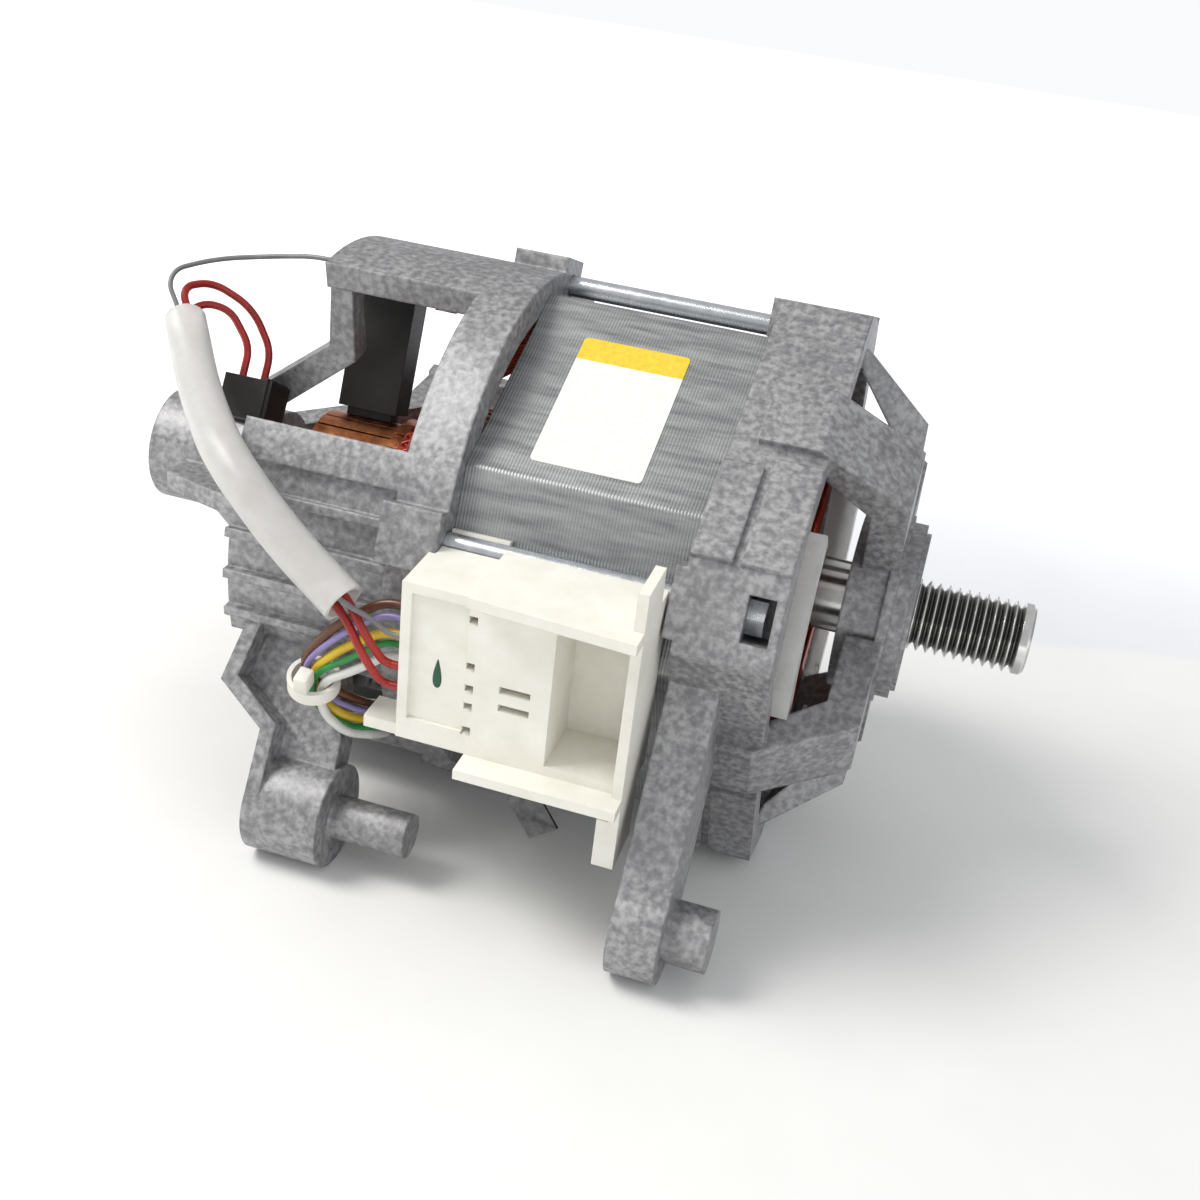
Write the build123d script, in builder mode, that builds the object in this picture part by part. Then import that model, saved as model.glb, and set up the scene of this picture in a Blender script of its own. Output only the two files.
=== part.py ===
from build123d import *
import os
from math import cos, degrees, hypot, radians, sin, sqrt, tan

# Universal motor of a washing machine, in millimetres.
# The origin is the centre of the hub's front face, on the shaft's axis.
# +X points along the shaft towards the drive end, +Z is up, and -Y is the near side,
# where the terminal block, the label and both feet are.
# Places along the shaft are given as "back", the distance behind the hub's front face.
# Places round the shaft are given as an angle from the leg direction towards the near side.

# Resting pose and the angles round the shaft
resting_roll = 25.0        # the legs splay this far towards the near side
label_angle = 55.0         # direction of the stator flat that carries the label
quarter = 90.0
corner_angle = label_angle - quarter / 2
block_angle = 120.0        # direction that the terminal block faces
overrun = 1.0              # cuts run this far past a face
fit_gap = 0.2              # parts that lie beside each other
running_gap = 0.05         # bearing balls in their races

# Stator stack
stack_front = 47.0
stack_length = 55.0
stack_flat = 54.0
stack_flat_half = 29.0
stack_corner_fillet = 2.0
bore_radius = 31.0
weld_groove_width = 3.0
weld_groove_depth = 1.2
stack_rear = stack_front + stack_length
nose_setback = 70.0        # the bracket's nose, behind the stack
nose_front = stack_rear + nose_setback
stack_corner = (stack_flat + stack_flat_half) / sqrt(2)

# Field coils and their slots
coil_inner_half = 26.0
coil_width = 9.4
coil_bottom = 30.8
coil_height = 8.8
coil_overhang = 22.0
coil_corner = 12.6
coil_edge = 2.2
slot_gap = 0.6
insulator_thickness = 1.2
insulator_half = 28.4

# Winding guard at the drive end
guard_clearance = 0.3
guard_wall = 1.2
guard_front = 21.5
guard_back = 29.5
guard_lip = 7.0
guard_open_from = -29.0
guard_open_to = 78.0
guard_foot_width = 10.0
guard_band = 2.0
guard_notch_gap = 1.0

# Armature, commutator and shaft
air_gap = 0.6
armature_slots = 12
slot_mouth = 2.4
slot_depth = 9.0
tooth_lip = 1.6
slot_radius = 2.6
head_radius = 26.5
head_inner_radius = 11.0
front_head_length = 13.0
rear_head_length = 24.0
head_fillet = 4.5
commutator_setback = 36.0
commutator_front = stack_rear + commutator_setback
commutator_length = 22.0
commutator_radius = 18.0
commutator_bar_count = 24
commutator_bar_depth = 4.0
bar_gap = 0.7
riser_length = 3.0
riser_radius = 20.0
shaft_radius = 8.0
shoulder_radius = 9.2
shoulder_back = 34.0
hub_overhang = 2.0
rear_shaft_radius = 5.6

# Grooved drive end of the shaft
pulley_radius = 8.9
pulley_tip = 28.5
groove_pitch = 2.34
groove_depth = 1.7
groove_count = 11
groove_flank_share = 0.38
groove_floor_share = 0.5
groove_land_share = 0.88
pulley_tip_land = 2.6
pulley_chamfer = 0.8
centre_hole_radius = 2.2
centre_hole_depth = 5.0

# Bearings
front_bearing_bore = 7.5
front_bearing_outer = 17.5
front_bearing_width = 11.0
front_bearing_back = 2.4
front_ball_radius = 2.9
front_ball_count = 8
rear_bearing_bore = 4.0
rear_bearing_outer = 11.0
rear_bearing_width = 7.0
rear_bearing_inset = 14.0  # from the front of the nose
rear_bearing_back = nose_front + rear_bearing_inset
rear_ball_radius = 1.95
rear_ball_count = 7
race_share = 0.33          # thickness of each race, as a share of the bearing's section
wave_thickness = 0.5
shield_plate = 0.4
shield_gap = 0.3

# Drive end bracket
rim_flat = 55.8
rim_flat_half = 41.0
rim_inner_flat = 50.0
guard_radius = rim_inner_flat - guard_clearance
rim_inner_half = 29.2
rim_corner = (rim_flat + rim_flat_half) / sqrt(2)
rim_front = 25.0
rim_corner_fillet = 3.0
pad_height = 1.2
pad_length = 11.0
pad_groove = 1.8
pad_near = 10.6            # edge of each pad beside the middle of its flat
rear_pad_near = 13.5
bolt_circle = 62.0
bolt_radius = 2.6
bolt_gap = 0.2
bolt_head_radius = 4.4
bolt_head_front = 29.0
corner_lip = 2.4
corner_lip_inner = 59.0
corner_lip_half = 8.0
pocket_front = 27.0
pocket_back = 33.0
pocket_half = 5.2
pocket_inner = 57.0
arm_offset = 2.85
arm_width = 18.9
arm_front = 5.5
arm_length = 35.5
arm_inner = 20.0
arm_height = 37.8
arm_shares = ((1, 1), (0.6056, 1), (0.0423, 0.6746), (0, 0.6349), (0, 0), (0.2394, 0),
              (0.2394, 0.5159), (0.6338, 0.8148), (1, 0.8148))
hub_radius = 22.0
hub_length = 16.5
hub_band_radius = 23.6
hub_band_back = 4.6
hub_band_width = 2.6
hub_face_radius = 20.0
hub_face_step = 1.2
hub_lip_radius = 10.2
gusset_front = 6.0
gusset_length = 32.0
gusset_height = 47.5
gusset_shares = ((1, 1), (0.8438, 1), (0.0313, 0.5474), (0, 0), (0.2188, 0), (0.2188, 0.4211),
                 (0.4844, 0.6484), (0.625, 0.7684), (1, 0.7684))
gusset_half_back = 8.0
gusset_half_front = 3.0
gusset_wide_back = 26.0
gusset_narrow_back = 7.0
leg_front = 35.5
leg_near = 56.0
leg_width = 22.0
leg_top = -20.0
front_pin_toward = 45.0
front_pin_up = -83.2
foot_radius = 12.5
front_pin_radius = 7.2
front_pin_length = 10.0
ejector_radius = 0.9
ejector_depth = 1.0
ejector_up = -72.2
far_lug_radius = 10.0
far_lug_front = 35.2
far_lug_width = 10.6
far_lug_bore = 4.2
far_lug_angle = label_angle + 2 * quarter

# Brush end bracket
ring_outer = 65.0
ring_wall = 7.5
ring_inner = ring_outer - ring_wall
ring_length = 12.5
rail_from = -6.0
rail_to = 42.0
rail_wall = 6.5
rail_length = 39.5
rail_step = 2.4
rail_rib_width = 2.2
rail_step_angle = 92.0
rail_rib_angles = (99.0, 108.0, 117.0, 126.0)
bolt_boss_half = 7.0
bolt_boss_rise = 3.5       # from the ring's outside
bolt_boss_outer = ring_outer + bolt_boss_rise
bolt_boss_length = 14.0
spider_angle = 38.5
spider_thickness = 6.4
spider_setback = 45.5
spider_length = 42.5
spider_inner = 14.0
spider_height = 47.0
spider_shares = ((0, 1), (0.1294, 1), (0.1647, 0.5957), (1, 0), (0.7176, 0), (0, 0.5319))
nose_radius = 15.0
nose_length = 32.0
nose_back = nose_front + nose_length
nose_neck_radius = 8.0
rear_leg_near = 44.0
rear_leg_thickness = 8.0
rear_leg_flange = 7.0
rear_leg_setback = 10.0
rear_leg_length = 39.5
rear_leg_bottom = -80.0
rear_leg_height = 46.0
rear_leg_shares = ((0.4051, 0.9565), (0.8987, 1), (1, 0.5652), (0.6835, 0.3696), (0.6835, 0),
                   (0.2278, 0), (0.2405, 0.3913))
rear_flange_shares = ((0.8987, 1), (1, 0.5652), (0.6835, 0.3696), (0.6835, 0), (0.5949, 0),
                      (0.5949, 0.413), (0.8987, 0.6043), (0.8101, 1))
rear_leg_top_shares = ((0, 0.9565), (0.8987, 1), (0.919, 0.7826), (0, 0.7391))
rear_foot_toward = 38.5
rear_foot_up = -80.1
rear_foot_setback = 18.0
rear_foot_front = stack_rear + rear_foot_setback
rear_foot_length = 19.0
rear_pin_radius = 5.3
rear_pin_length = 19.0
far_rear_lug_setback = 1.0
far_rear_lug_front = stack_rear + far_rear_lug_setback
far_rear_lug_width = 12.0
ledge_angle = 118.0
ledge_thickness = 5.0
ledge_setback = 61.0
ledge_length = 30.0
ledge_height = 18.0
ledge_shares = ((0, 0), (1, 0), (1, 0.5556), (0.1, 1))

# Brush gear
brush_thickness = 5.0
brush_width = 12.5
brush_length = 28.0
brush_setback = 5.0
brush_back = commutator_front + brush_setback
brush_gap = 0.1
box_wall = 1.8
box_bottom = 20.2
base_setback = 17.0
base_front = stack_rear + base_setback
base_margin = 0.6          # behind the brush box
base_bottom = 51.0
base_thickness = 6.2
base_half = 11.0
screw_inset = 5.0
screw_pitch = 10.0
screw_backs = (base_front + screw_inset, base_front + screw_inset + screw_pitch)
spring_wire = 0.7
spring_radius = 1.9
brush_angle = 10.0
screw_radius = 1.6
screw_head_radius = 2.9
screw_head_height = 1.8

# Speed sensor at the shaft's rear end
magnet_radius = 5.6
magnet_length = 6.5
magnet_gap = 2.0
magnet_front = rear_bearing_back + rear_bearing_width + magnet_gap
sensor_gap = 0.8
sensor_outer = 12.6
sensor_cap_thickness = 1.2
sensor_cap_inset = 0.4
sensor_cap_front = nose_back - sensor_cap_inset - sensor_cap_thickness
sensor_seat_depth = 1.6
plug_length = 13.0
plug_width = 11.0
plug_height = 10.5
plug_lead = 6.0
plug_back = nose_front - plug_lead
plug_toward = 25.5
plug_up = 13.5
plug_rib = 1.0
plug_foot_toward = 19.0
plug_foot_up = 10.0
plug_foot_width = 9.0
plug_foot_height = 5.0
plug_foot_length = 5.0

# Terminal block
block_overhang = 1.3
block_left = stack_rear + block_overhang
block_setback = 3.0
block_right = stack_front + block_setback
block_bottom = -17.5
block_top = 22.0
block_rear = 61.5
block_front = 80.0
block_wall = 2.4
panel_gap = 1.0
recess_width = 18.5
recess_left = block_right + recess_width
contact_bottom = -12.0
contact_depth = 12.0
panel_depth = 1.0
slot_inset = 4.5
slot_back = recess_left + slot_inset
slot_size = 7.0
slot_height = 1.7
slot_rise = 1.3
slot_pitch = 4.5
window_size = 2.2
window_rise_shares = (0.8608, 0.5696, 0.4278, 0.3114, 0.1544)   # of the block's height
roof_front = 84.5
roof_front_right = 87.0
roof_thickness = 2.4
skirt_front = 86.5
skirt_width = 37.0
skirt_left = block_right + skirt_width
panel_right = skirt_left + panel_gap
shield_back = 68.0
shield_front = 81.5
shield_top = 33.0
shield_bottom = -24.0
shield_thickness = 2.4
fin_bottom = -36.5
fin_width = 5.0
base_overhang = 11.0
base_left = stack_rear + base_overhang
base_drop = 3.0
base_depth = 14.0
tongue_thickness = 1.8
tongue_down = 16.0
tongue_up = 3.2
blade_width = 6.3
blade_thickness = 0.8
blade_setback = 3.0
blade_rise = 4.6
tab_inset = 21.0
tab_back = block_right + tab_inset
tab_out = 74.8
tab_drop = 8.0
tab_shift = 6.0
tab_fall = 9.0

# Label
label_width = 26.0
label_height = 40.5
label_shift = 1.5
label_back = stack_front + stack_length / 2 + label_shift
label_offset = -3.5
label_thickness = 0.25
label_corner = 1.2

# Leads and sleeve
sleeve_radius = 5.0
sleeve_wall = 0.8
tacho_lead_radius = 0.95
thin_lead_radius = 0.6
lead_radius = 1.1
arc_share = 0.45
wiring_size = 100.0        # the leads' places are shares of this, back from the stack's rear
tie_share = (0.256, 0.54, -0.486)
tie_radius = 5.0
tie_width = 3.6
tie_thickness = 1.1


# Places and planes in the motor's own directions
def spot(back, toward, up):
    """A point: behind the hub face, towards the near side, and up along the legs."""
    roll = radians(resting_roll)
    return Vector(-back, up * sin(roll) - toward * cos(roll), toward * sin(roll) + up * cos(roll))


def direction(angle):
    """The unit vector that points away from the shaft at an angle."""
    turn = radians(angle - resting_roll)
    return Vector(0, -sin(turn), cos(turn))


def across(back, angle=0.0):
    """A section plane across the shaft, with its local Y pointing out at the angle."""
    turn = radians(angle - resting_roll)
    return Plane(origin=(-back, 0, 0), x_dir=(0, -cos(turn), -sin(turn)), z_dir=(-1, 0, 0))


def lengthwise(angle):
    """A plane through the shaft's axis: local X is back, local Y is away from the axis."""
    turn = radians(angle - resting_roll)
    return Plane(origin=(0, 0, 0), x_dir=(-1, 0, 0), z_dir=(0, cos(turn), sin(turn)))


def outward(angle, distance, back):
    """A plane that faces outwards: local X is towards the drive end, local Y is up."""
    return Plane(origin=direction(angle) * distance + Vector(-back, 0, 0), x_dir=(1, 0, 0),
                 z_dir=direction(angle))


def block_spot(back, out, rise):
    """A point in the terminal block's directions: back, out from the shaft, and up its face."""
    turn = radians(block_angle)
    toward = out * sin(turn) - rise * cos(turn)
    up = out * cos(turn) + rise * sin(turn)
    return spot(back, toward, up)


def shelf(rise):
    """A plane in the terminal block: local X is back, local Y is out from the shaft."""
    up = block_spot(0, 0, 1) - block_spot(0, 0, 0)
    return Plane(origin=block_spot(0, 0, rise), x_dir=(-1, 0, 0), z_dir=up)


def polar(radius, angle):
    """A point of a section sketch, at an angle from the sketch's local Y towards its local X."""
    return (radius * sin(radians(angle)), radius * cos(radians(angle)))


def patch(near_end, far_end, low, high, mode=Mode.ADD):
    """A rectangle in a plane that faces outwards, given by its backs and its heights."""
    with Locations((-(near_end + far_end) / 2, (low + high) / 2)):
        Rectangle(far_end - near_end, high - low, mode=mode)


def span(near_end, far_end, low, high, mode=Mode.ADD):
    """A rectangle in a lengthwise plane, given by its backs and its distances."""
    with Locations(((near_end + far_end) / 2, (low + high) / 2)):
        Rectangle(far_end - near_end, high - low, mode=mode)


def ring_slice(inner, outer, start, end, mode=Mode.ADD):
    """A slice of a ring between two angles, in a section sketch."""
    middle = (start + end) / 2
    with BuildLine() as line:
        ThreePointArc(polar(outer, start), polar(outer, middle), polar(outer, end))
        Line(polar(outer, end), polar(inner, end))
        ThreePointArc(polar(inner, end), polar(inner, middle), polar(inner, start))
        Line(polar(inner, start), polar(outer, start))
    make_face(line.edges(), mode=mode)


def placed(shares, front, length, low, height):
    """Outline points from their shares of a length behind a front and a height above a base."""
    return [(front + along * length, low + rise * height) for along, rise in shares]


def shape(points, mode=Mode.ADD):
    """A filled outline through the points, in the current sketch."""
    with BuildLine() as line:
        Polyline(*points, close=True)
    make_face(line.edges(), mode=mode)


def cut_square(sketch, flat, flat_half, corner_fillet):
    """A square with cut corners, the outline of the stack and of the bracket on it."""
    Rectangle(2 * flat, 2 * flat)
    chamfer(sketch.vertices(), flat - flat_half)
    fillet(sketch.vertices(), corner_fillet)


def finish(piece, name):
    """Give the finished piece its name and write it."""
    piece.label = name
    export_step(piece, f"parts/{name}.step")


os.makedirs("parts", exist_ok=True)

# Stator core: a square lamination stack with cut corners, its bore and its coil slots
slot_low = coil_inner_half - slot_gap
slot_high = coil_inner_half + coil_width + slot_gap
slot_reach = coil_bottom + coil_height + slot_gap
slot_places = ((-(slot_low + slot_high) / 2, 0), ((slot_low + slot_high) / 2, 0))
with BuildPart() as stator_core:
    with BuildSketch(across(stack_front, label_angle)) as outline:
        cut_square(outline, stack_flat, stack_flat_half, stack_corner_fillet)
        Circle(bore_radius, mode=Mode.SUBTRACT)
        with Locations(*slot_places):
            Rectangle(slot_high - slot_low, 2 * slot_reach, mode=Mode.SUBTRACT)
    extrude(amount=stack_length)
    with BuildSketch(across(stack_front, corner_angle)):
        with PolarLocations(stack_corner, 4):
            Rectangle(2 * weld_groove_depth, weld_groove_width)
    extrude(amount=stack_length, mode=Mode.SUBTRACT)
finish(stator_core.part, "stator_core")

# Field coils: racetracks round the two poles, under the label flat and opposite it
coil_centre = stack_front + stack_length / 2
coil_length = stack_length + 2 * coil_overhang
coil_half = coil_inner_half + coil_width
for name, angle in (("field_coil_upper", label_angle), ("field_coil_lower", label_angle + 2 * quarter)):
    with BuildPart() as field_coil:
        with BuildSketch(outward(angle, coil_bottom, coil_centre)):
            RectangleRounded(coil_length, 2 * coil_half, coil_corner + coil_width)
            RectangleRounded(coil_length - 2 * coil_width, 2 * coil_inner_half, coil_corner,
                             mode=Mode.SUBTRACT)
        extrude(amount=coil_height)
        fillet(field_coil.edges().filter_by(outward(angle, 0, 0)), coil_edge)
    finish(field_coil.part, name)

# Insulators on both ends of the stack, between the laminations and the coils
for name, back in (("coil_insulator_front", stack_front - insulator_thickness),
                   ("coil_insulator_rear", stack_rear)):
    with BuildPart() as insulator:
        with BuildSketch(across(back, label_angle)) as insulator_outline:
            cut_square(insulator_outline, rim_inner_flat - fit_gap, insulator_half, stack_corner_fillet)
            Circle(bore_radius + fit_gap, mode=Mode.SUBTRACT)
            with Locations(*slot_places):
                Rectangle(slot_high - slot_low, 2 * slot_reach, mode=Mode.SUBTRACT)
        extrude(amount=insulator_thickness)
    finish(insulator.part, name)

# Winding guard: a translucent ring round the coil ends, open where the copper shows
guard_inner = guard_radius - guard_wall
guard_last = guard_open_from + 4 * quarter
with BuildPart() as winding_guard:
    with BuildSketch(across(guard_front)):
        ring_slice(guard_inner, guard_radius, guard_open_to, guard_last)
    extrude(amount=guard_back - guard_front)
    with BuildSketch(across(guard_front)):
        ring_slice(guard_radius - guard_lip, guard_radius, guard_open_to, guard_last)
    extrude(amount=guard_wall)
    # Notches for the bracket's arms, leaving a band that carries the feet
    for turn in (1, 2, 3):
        with BuildSketch(across(guard_front, label_angle + turn * quarter)):
            with Locations((-arm_offset, guard_radius)):
                Rectangle(arm_width + 2 * guard_notch_gap, 2 * guard_lip + overrun)
        extrude(amount=guard_back - guard_front - guard_band, mode=Mode.SUBTRACT)
    for turn in (1, 2, 3):
        with BuildSketch(across(guard_back - guard_band, label_angle + turn * quarter)):
            with Locations((0, guard_radius - guard_wall)):
                Rectangle(guard_foot_width, guard_wall)
        extrude(amount=stack_front - insulator_thickness - guard_back + guard_band)
finish(winding_guard.part, "winding_guard")

# Armature core: round laminations with open slots
armature_radius = bore_radius - air_gap
slot_length = slot_depth - tooth_lip
slot_centre = armature_radius - tooth_lip - slot_length / 2
with BuildPart() as armature_core:
    with BuildSketch(across(stack_front)):
        Circle(armature_radius)
        Circle(shaft_radius, mode=Mode.SUBTRACT)
        with PolarLocations(armature_radius, armature_slots):
            Rectangle(2 * (tooth_lip + fit_gap), slot_mouth, mode=Mode.SUBTRACT)
        with PolarLocations(slot_centre, armature_slots):
            SlotOverall(slot_length, 2 * slot_radius, mode=Mode.SUBTRACT)
    extrude(amount=stack_length)
finish(armature_core.part, "armature_core")

# Armature winding: the heads at both ends and the wire bundles in the slots
riser_front = commutator_front - riser_length
with BuildPart() as armature_winding:
    for front, back in ((stack_front - front_head_length, stack_front),
                        (stack_rear, stack_rear + rear_head_length)):
        with BuildSketch(lengthwise(label_angle)) as head:
            span(front, back, head_inner_radius, head_radius)
            fillet(head.vertices().group_by(Axis.Y)[-1], head_fillet)
        revolve(axis=Axis.X)
    with BuildSketch(lengthwise(label_angle)):
        shape(((stack_rear + rear_head_length - head_fillet, head_inner_radius),
               (stack_rear + rear_head_length - head_fillet, head_radius - head_fillet),
               (riser_front, riser_radius), (riser_front, head_inner_radius)))
    revolve(axis=Axis.X)
    with BuildSketch(across(stack_front)):
        with PolarLocations(slot_centre, armature_slots):
            SlotOverall(slot_length - 2 * fit_gap, 2 * (slot_radius - fit_gap))
    extrude(amount=stack_length)
finish(armature_winding.part, "armature_winding")

# Commutator: copper bars with risers on a moulded hub
commutator_rear = commutator_front + commutator_length
bar_floor = commutator_radius - commutator_bar_depth
with BuildPart() as commutator_bars:
    for back, length, radius in ((riser_front, riser_length, riser_radius),
                                 (commutator_front, commutator_length, commutator_radius)):
        with BuildSketch(across(back)):
            Circle(radius)
            Circle(bar_floor, mode=Mode.SUBTRACT)
            with PolarLocations(bar_floor, commutator_bar_count):
                Rectangle(2 * commutator_radius, bar_gap, mode=Mode.SUBTRACT)
        extrude(amount=length)
finish(commutator_bars.part, "commutator_bars")

with BuildPart() as commutator_hub:
    with BuildSketch(across(riser_front)):
        Circle(bar_floor)
        Circle(shaft_radius, mode=Mode.SUBTRACT)
    extrude(amount=commutator_rear - riser_front + hub_overhang)
finish(commutator_hub.part, "commutator_hub")

# Shaft: grooved drive end, bearing seats, shoulder, core seat and rear journal
front_bearing_end = front_bearing_back + front_bearing_width
groove_start = pulley_tip_land - pulley_tip
outline_points = [(-pulley_tip, 0), (-pulley_tip, pulley_radius - pulley_chamfer),
                  (pulley_chamfer - pulley_tip, pulley_radius)]
for groove in range(groove_count):
    front = groove_start + groove * groove_pitch
    outline_points += [(front, pulley_radius),
                       (front + groove_flank_share * groove_pitch, pulley_radius - groove_depth),
                       (front + groove_floor_share * groove_pitch, pulley_radius - groove_depth),
                       (front + groove_land_share * groove_pitch, pulley_radius)]
groove_end = groove_start + groove_count * groove_pitch
outline_points += [(groove_end, pulley_radius), (groove_end, front_bearing_bore),
                   (front_bearing_end, front_bearing_bore), (front_bearing_end, shoulder_radius),
                   (shoulder_back, shoulder_radius), (shoulder_back, shaft_radius),
                   (commutator_rear + hub_overhang, shaft_radius),
                   (commutator_rear + hub_overhang, rear_shaft_radius),
                   (rear_bearing_back, rear_shaft_radius), (rear_bearing_back, rear_bearing_bore),
                   (magnet_front + magnet_length, rear_bearing_bore),
                   (magnet_front + magnet_length, 0)]
with BuildPart() as shaft:
    with BuildSketch(lengthwise(label_angle)):
        shape(outline_points)
    revolve(axis=Axis.X)
    with BuildSketch(lengthwise(label_angle)):
        shape(((-pulley_tip, 0), (-pulley_tip, centre_hole_radius), (centre_hole_depth - pulley_tip, 0)))
    revolve(axis=Axis.X, mode=Mode.SUBTRACT)
finish(shaft.part, "shaft")

# Bearings: races with grooves, balls, and thin shields on the outer race
for place, back, bore, outer, width, ball, count in (
        ("front", front_bearing_back, front_bearing_bore, front_bearing_outer, front_bearing_width,
         front_ball_radius, front_ball_count),
        ("rear", rear_bearing_back, rear_bearing_bore, rear_bearing_outer, rear_bearing_width,
         rear_ball_radius, rear_ball_count)):
    race = race_share * (outer - bore)
    pitch = (outer + bore) / 2
    middle = back + width / 2
    for race_name, low, high in (("outer_race", outer - race, outer), ("inner_race", bore, bore + race)):
        with BuildPart() as bearing_race:
            with BuildSketch(lengthwise(label_angle)):
                span(back, back + width, low, high)
                with Locations((middle, pitch)):
                    Circle(ball + running_gap, mode=Mode.SUBTRACT)
            revolve(axis=Axis.X)
        finish(bearing_race.part, f"{place}_bearing_{race_name}")
    with BuildPart() as balls:
        with Locations(across(middle)):
            with PolarLocations(pitch, count):
                Sphere(ball)
    finish(balls.part, f"{place}_bearing_balls")
    with BuildPart() as shields:
        for front in (back, back + width - shield_plate):
            with BuildSketch(across(front)):
                Circle(outer - race)
                Circle(bore + race + shield_gap, mode=Mode.SUBTRACT)
            extrude(amount=shield_plate)
    finish(shields.part, f"{place}_bearing_shields")

# Wave washer: preloads the rear bearing against the nose's shoulder
with BuildPart() as wave_washer:
    with BuildSketch(across(rear_bearing_back - wave_thickness)):
        Circle(rear_bearing_outer - fit_gap)
        Circle(rear_bearing_outer - race_share * (rear_bearing_outer - rear_bearing_bore),
               mode=Mode.SUBTRACT)
    extrude(amount=wave_thickness)
finish(wave_washer.part, "wave_washer")

# Drive end bracket: rim, pads, arms to the hub, gussets, leg with its cast pin, far lug
front_pin_height = spot(0, front_pin_toward, front_pin_up).Z
floor_drop = foot_radius - front_pin_height
lug_distance = (floor_drop - far_lug_radius) / -direction(far_lug_angle).Z
with BuildPart() as drive_end_gussets:
    for angle in (corner_angle, corner_angle + 2 * quarter):
        with BuildSketch(lengthwise(angle)):
            shape(placed(gusset_shares, gusset_front, gusset_length, arm_inner, gusset_height))
        extrude(amount=gusset_half_back, both=True)
    with BuildSketch(outward(corner_angle, 0, 0)):
        shape(((-stack_front, gusset_half_back), (-gusset_wide_back, gusset_half_back),
               (-gusset_narrow_back, gusset_half_front), (0, gusset_half_front),
               (0, -gusset_half_front), (-gusset_narrow_back, -gusset_half_front),
               (-gusset_wide_back, -gusset_half_back), (-stack_front, -gusset_half_back)))
    extrude(amount=2 * bolt_circle, both=True, mode=Mode.INTERSECT)

with BuildPart() as drive_end_bracket:
    # Rim on the front end of the stack, with a raised lip over each corner of the stack
    with BuildSketch(across(rim_front, label_angle)) as outline:
        cut_square(outline, rim_flat, rim_flat_half, rim_corner_fillet)
    extrude(amount=stack_front - rim_front)
    for turn in range(4):
        with BuildSketch(across(stack_front, corner_angle + turn * quarter)):
            with Locations((0, (corner_lip_inner + rim_corner) / 2)):
                Rectangle(2 * corner_lip_half, rim_corner - corner_lip_inner)
        extrude(amount=corner_lip)
    # Raised pads on the flats, one each side of the groove round the rim
    pad_rear_front = rim_front + pad_length + pad_groove
    for turn in range(4):
        for front, back, near in ((rim_front, rim_front + pad_length, pad_near),
                                  (pad_rear_front, stack_front, rear_pad_near)):
            with BuildSketch(outward(label_angle + turn * quarter, rim_flat, 0)):
                patch(front, back, -rim_flat_half, -near)
            extrude(amount=pad_height)
    # Arms from the rim to the hub
    for turn in range(4):
        with BuildSketch(lengthwise(label_angle + turn * quarter).offset(arm_offset - arm_width / 2)):
            shape(placed(arm_shares, arm_front, arm_length, arm_inner, arm_height))
        extrude(amount=arm_width)
    add(drive_end_gussets.part)
    # Hub with its raised band
    with BuildSketch(lengthwise(label_angle)):
        shape(((0, 0), (0, hub_face_radius), (hub_face_step, hub_face_radius),
               (hub_face_step, hub_radius), (hub_band_back, hub_radius),
               (hub_band_back, hub_band_radius), (hub_band_back + hub_band_width, hub_band_radius),
               (hub_band_back + hub_band_width, hub_radius), (hub_length, hub_radius), (hub_length, 0)))
    revolve(axis=Axis.X)
    # Leg on the near side with its round foot
    with BuildSketch(across(leg_front)):
        with Locations((leg_near - leg_width / 2, (leg_top + front_pin_up) / 2)):
            Rectangle(leg_width, leg_top - front_pin_up)
        with Locations((front_pin_toward, front_pin_up)):
            Circle(foot_radius)
    extrude(amount=stack_front - leg_front)
    # Lug on the far side, level with the foot
    with BuildSketch(across(far_lug_front, far_lug_angle)):
        with Locations((0, lug_distance)):
            Circle(far_lug_radius)
        with Locations((0, (rim_inner_flat + lug_distance) / 2)):
            Rectangle(2 * far_lug_radius, lug_distance - rim_inner_flat)
    extrude(amount=far_lug_width)
    # Opening through the rim, bearing seat, shaft hole, far lug's hole
    with BuildSketch(across(rim_front, label_angle)) as opening:
        cut_square(opening, rim_inner_flat, rim_inner_half, stack_corner_fillet)
    extrude(amount=stack_front - rim_front, mode=Mode.SUBTRACT)
    with BuildSketch(across(front_bearing_back)):
        Circle(front_bearing_outer)
    extrude(amount=hub_length, mode=Mode.SUBTRACT)
    with BuildSketch(across(0)):
        Circle(hub_lip_radius)
    extrude(amount=hub_length, mode=Mode.SUBTRACT)
    with BuildSketch(across(far_lug_front, far_lug_angle)):
        with Locations((0, lug_distance)):
            Circle(far_lug_bore)
    extrude(amount=far_lug_width, mode=Mode.SUBTRACT)
    # Pockets for the bolt heads and the holes behind them
    with BuildSketch(across(pocket_front, corner_angle)):
        with PolarLocations((pocket_inner + rim_corner + overrun) / 2, 4):
            Rectangle(rim_corner + overrun - pocket_inner, 2 * pocket_half)
    extrude(amount=pocket_back - pocket_front, mode=Mode.SUBTRACT)
    with BuildSketch(across(pocket_back, corner_angle)):
        with PolarLocations(bolt_circle, 4):
            Circle(bolt_radius + bolt_gap)
    extrude(amount=stack_rear - pocket_back, mode=Mode.SUBTRACT)
    # The leg's cast pin, and the mark of an ejector on the leg's back
    with BuildSketch(across(leg_front - front_pin_length)):
        with Locations((front_pin_toward, front_pin_up)):
            Circle(front_pin_radius)
    extrude(amount=front_pin_length)
    with BuildSketch(across(stack_front - ejector_depth)):
        with Locations((front_pin_toward, ejector_up)):
            Circle(ejector_radius)
    extrude(amount=ejector_depth, mode=Mode.SUBTRACT)
finish(drive_end_bracket.part, "drive_end_bracket")

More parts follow.
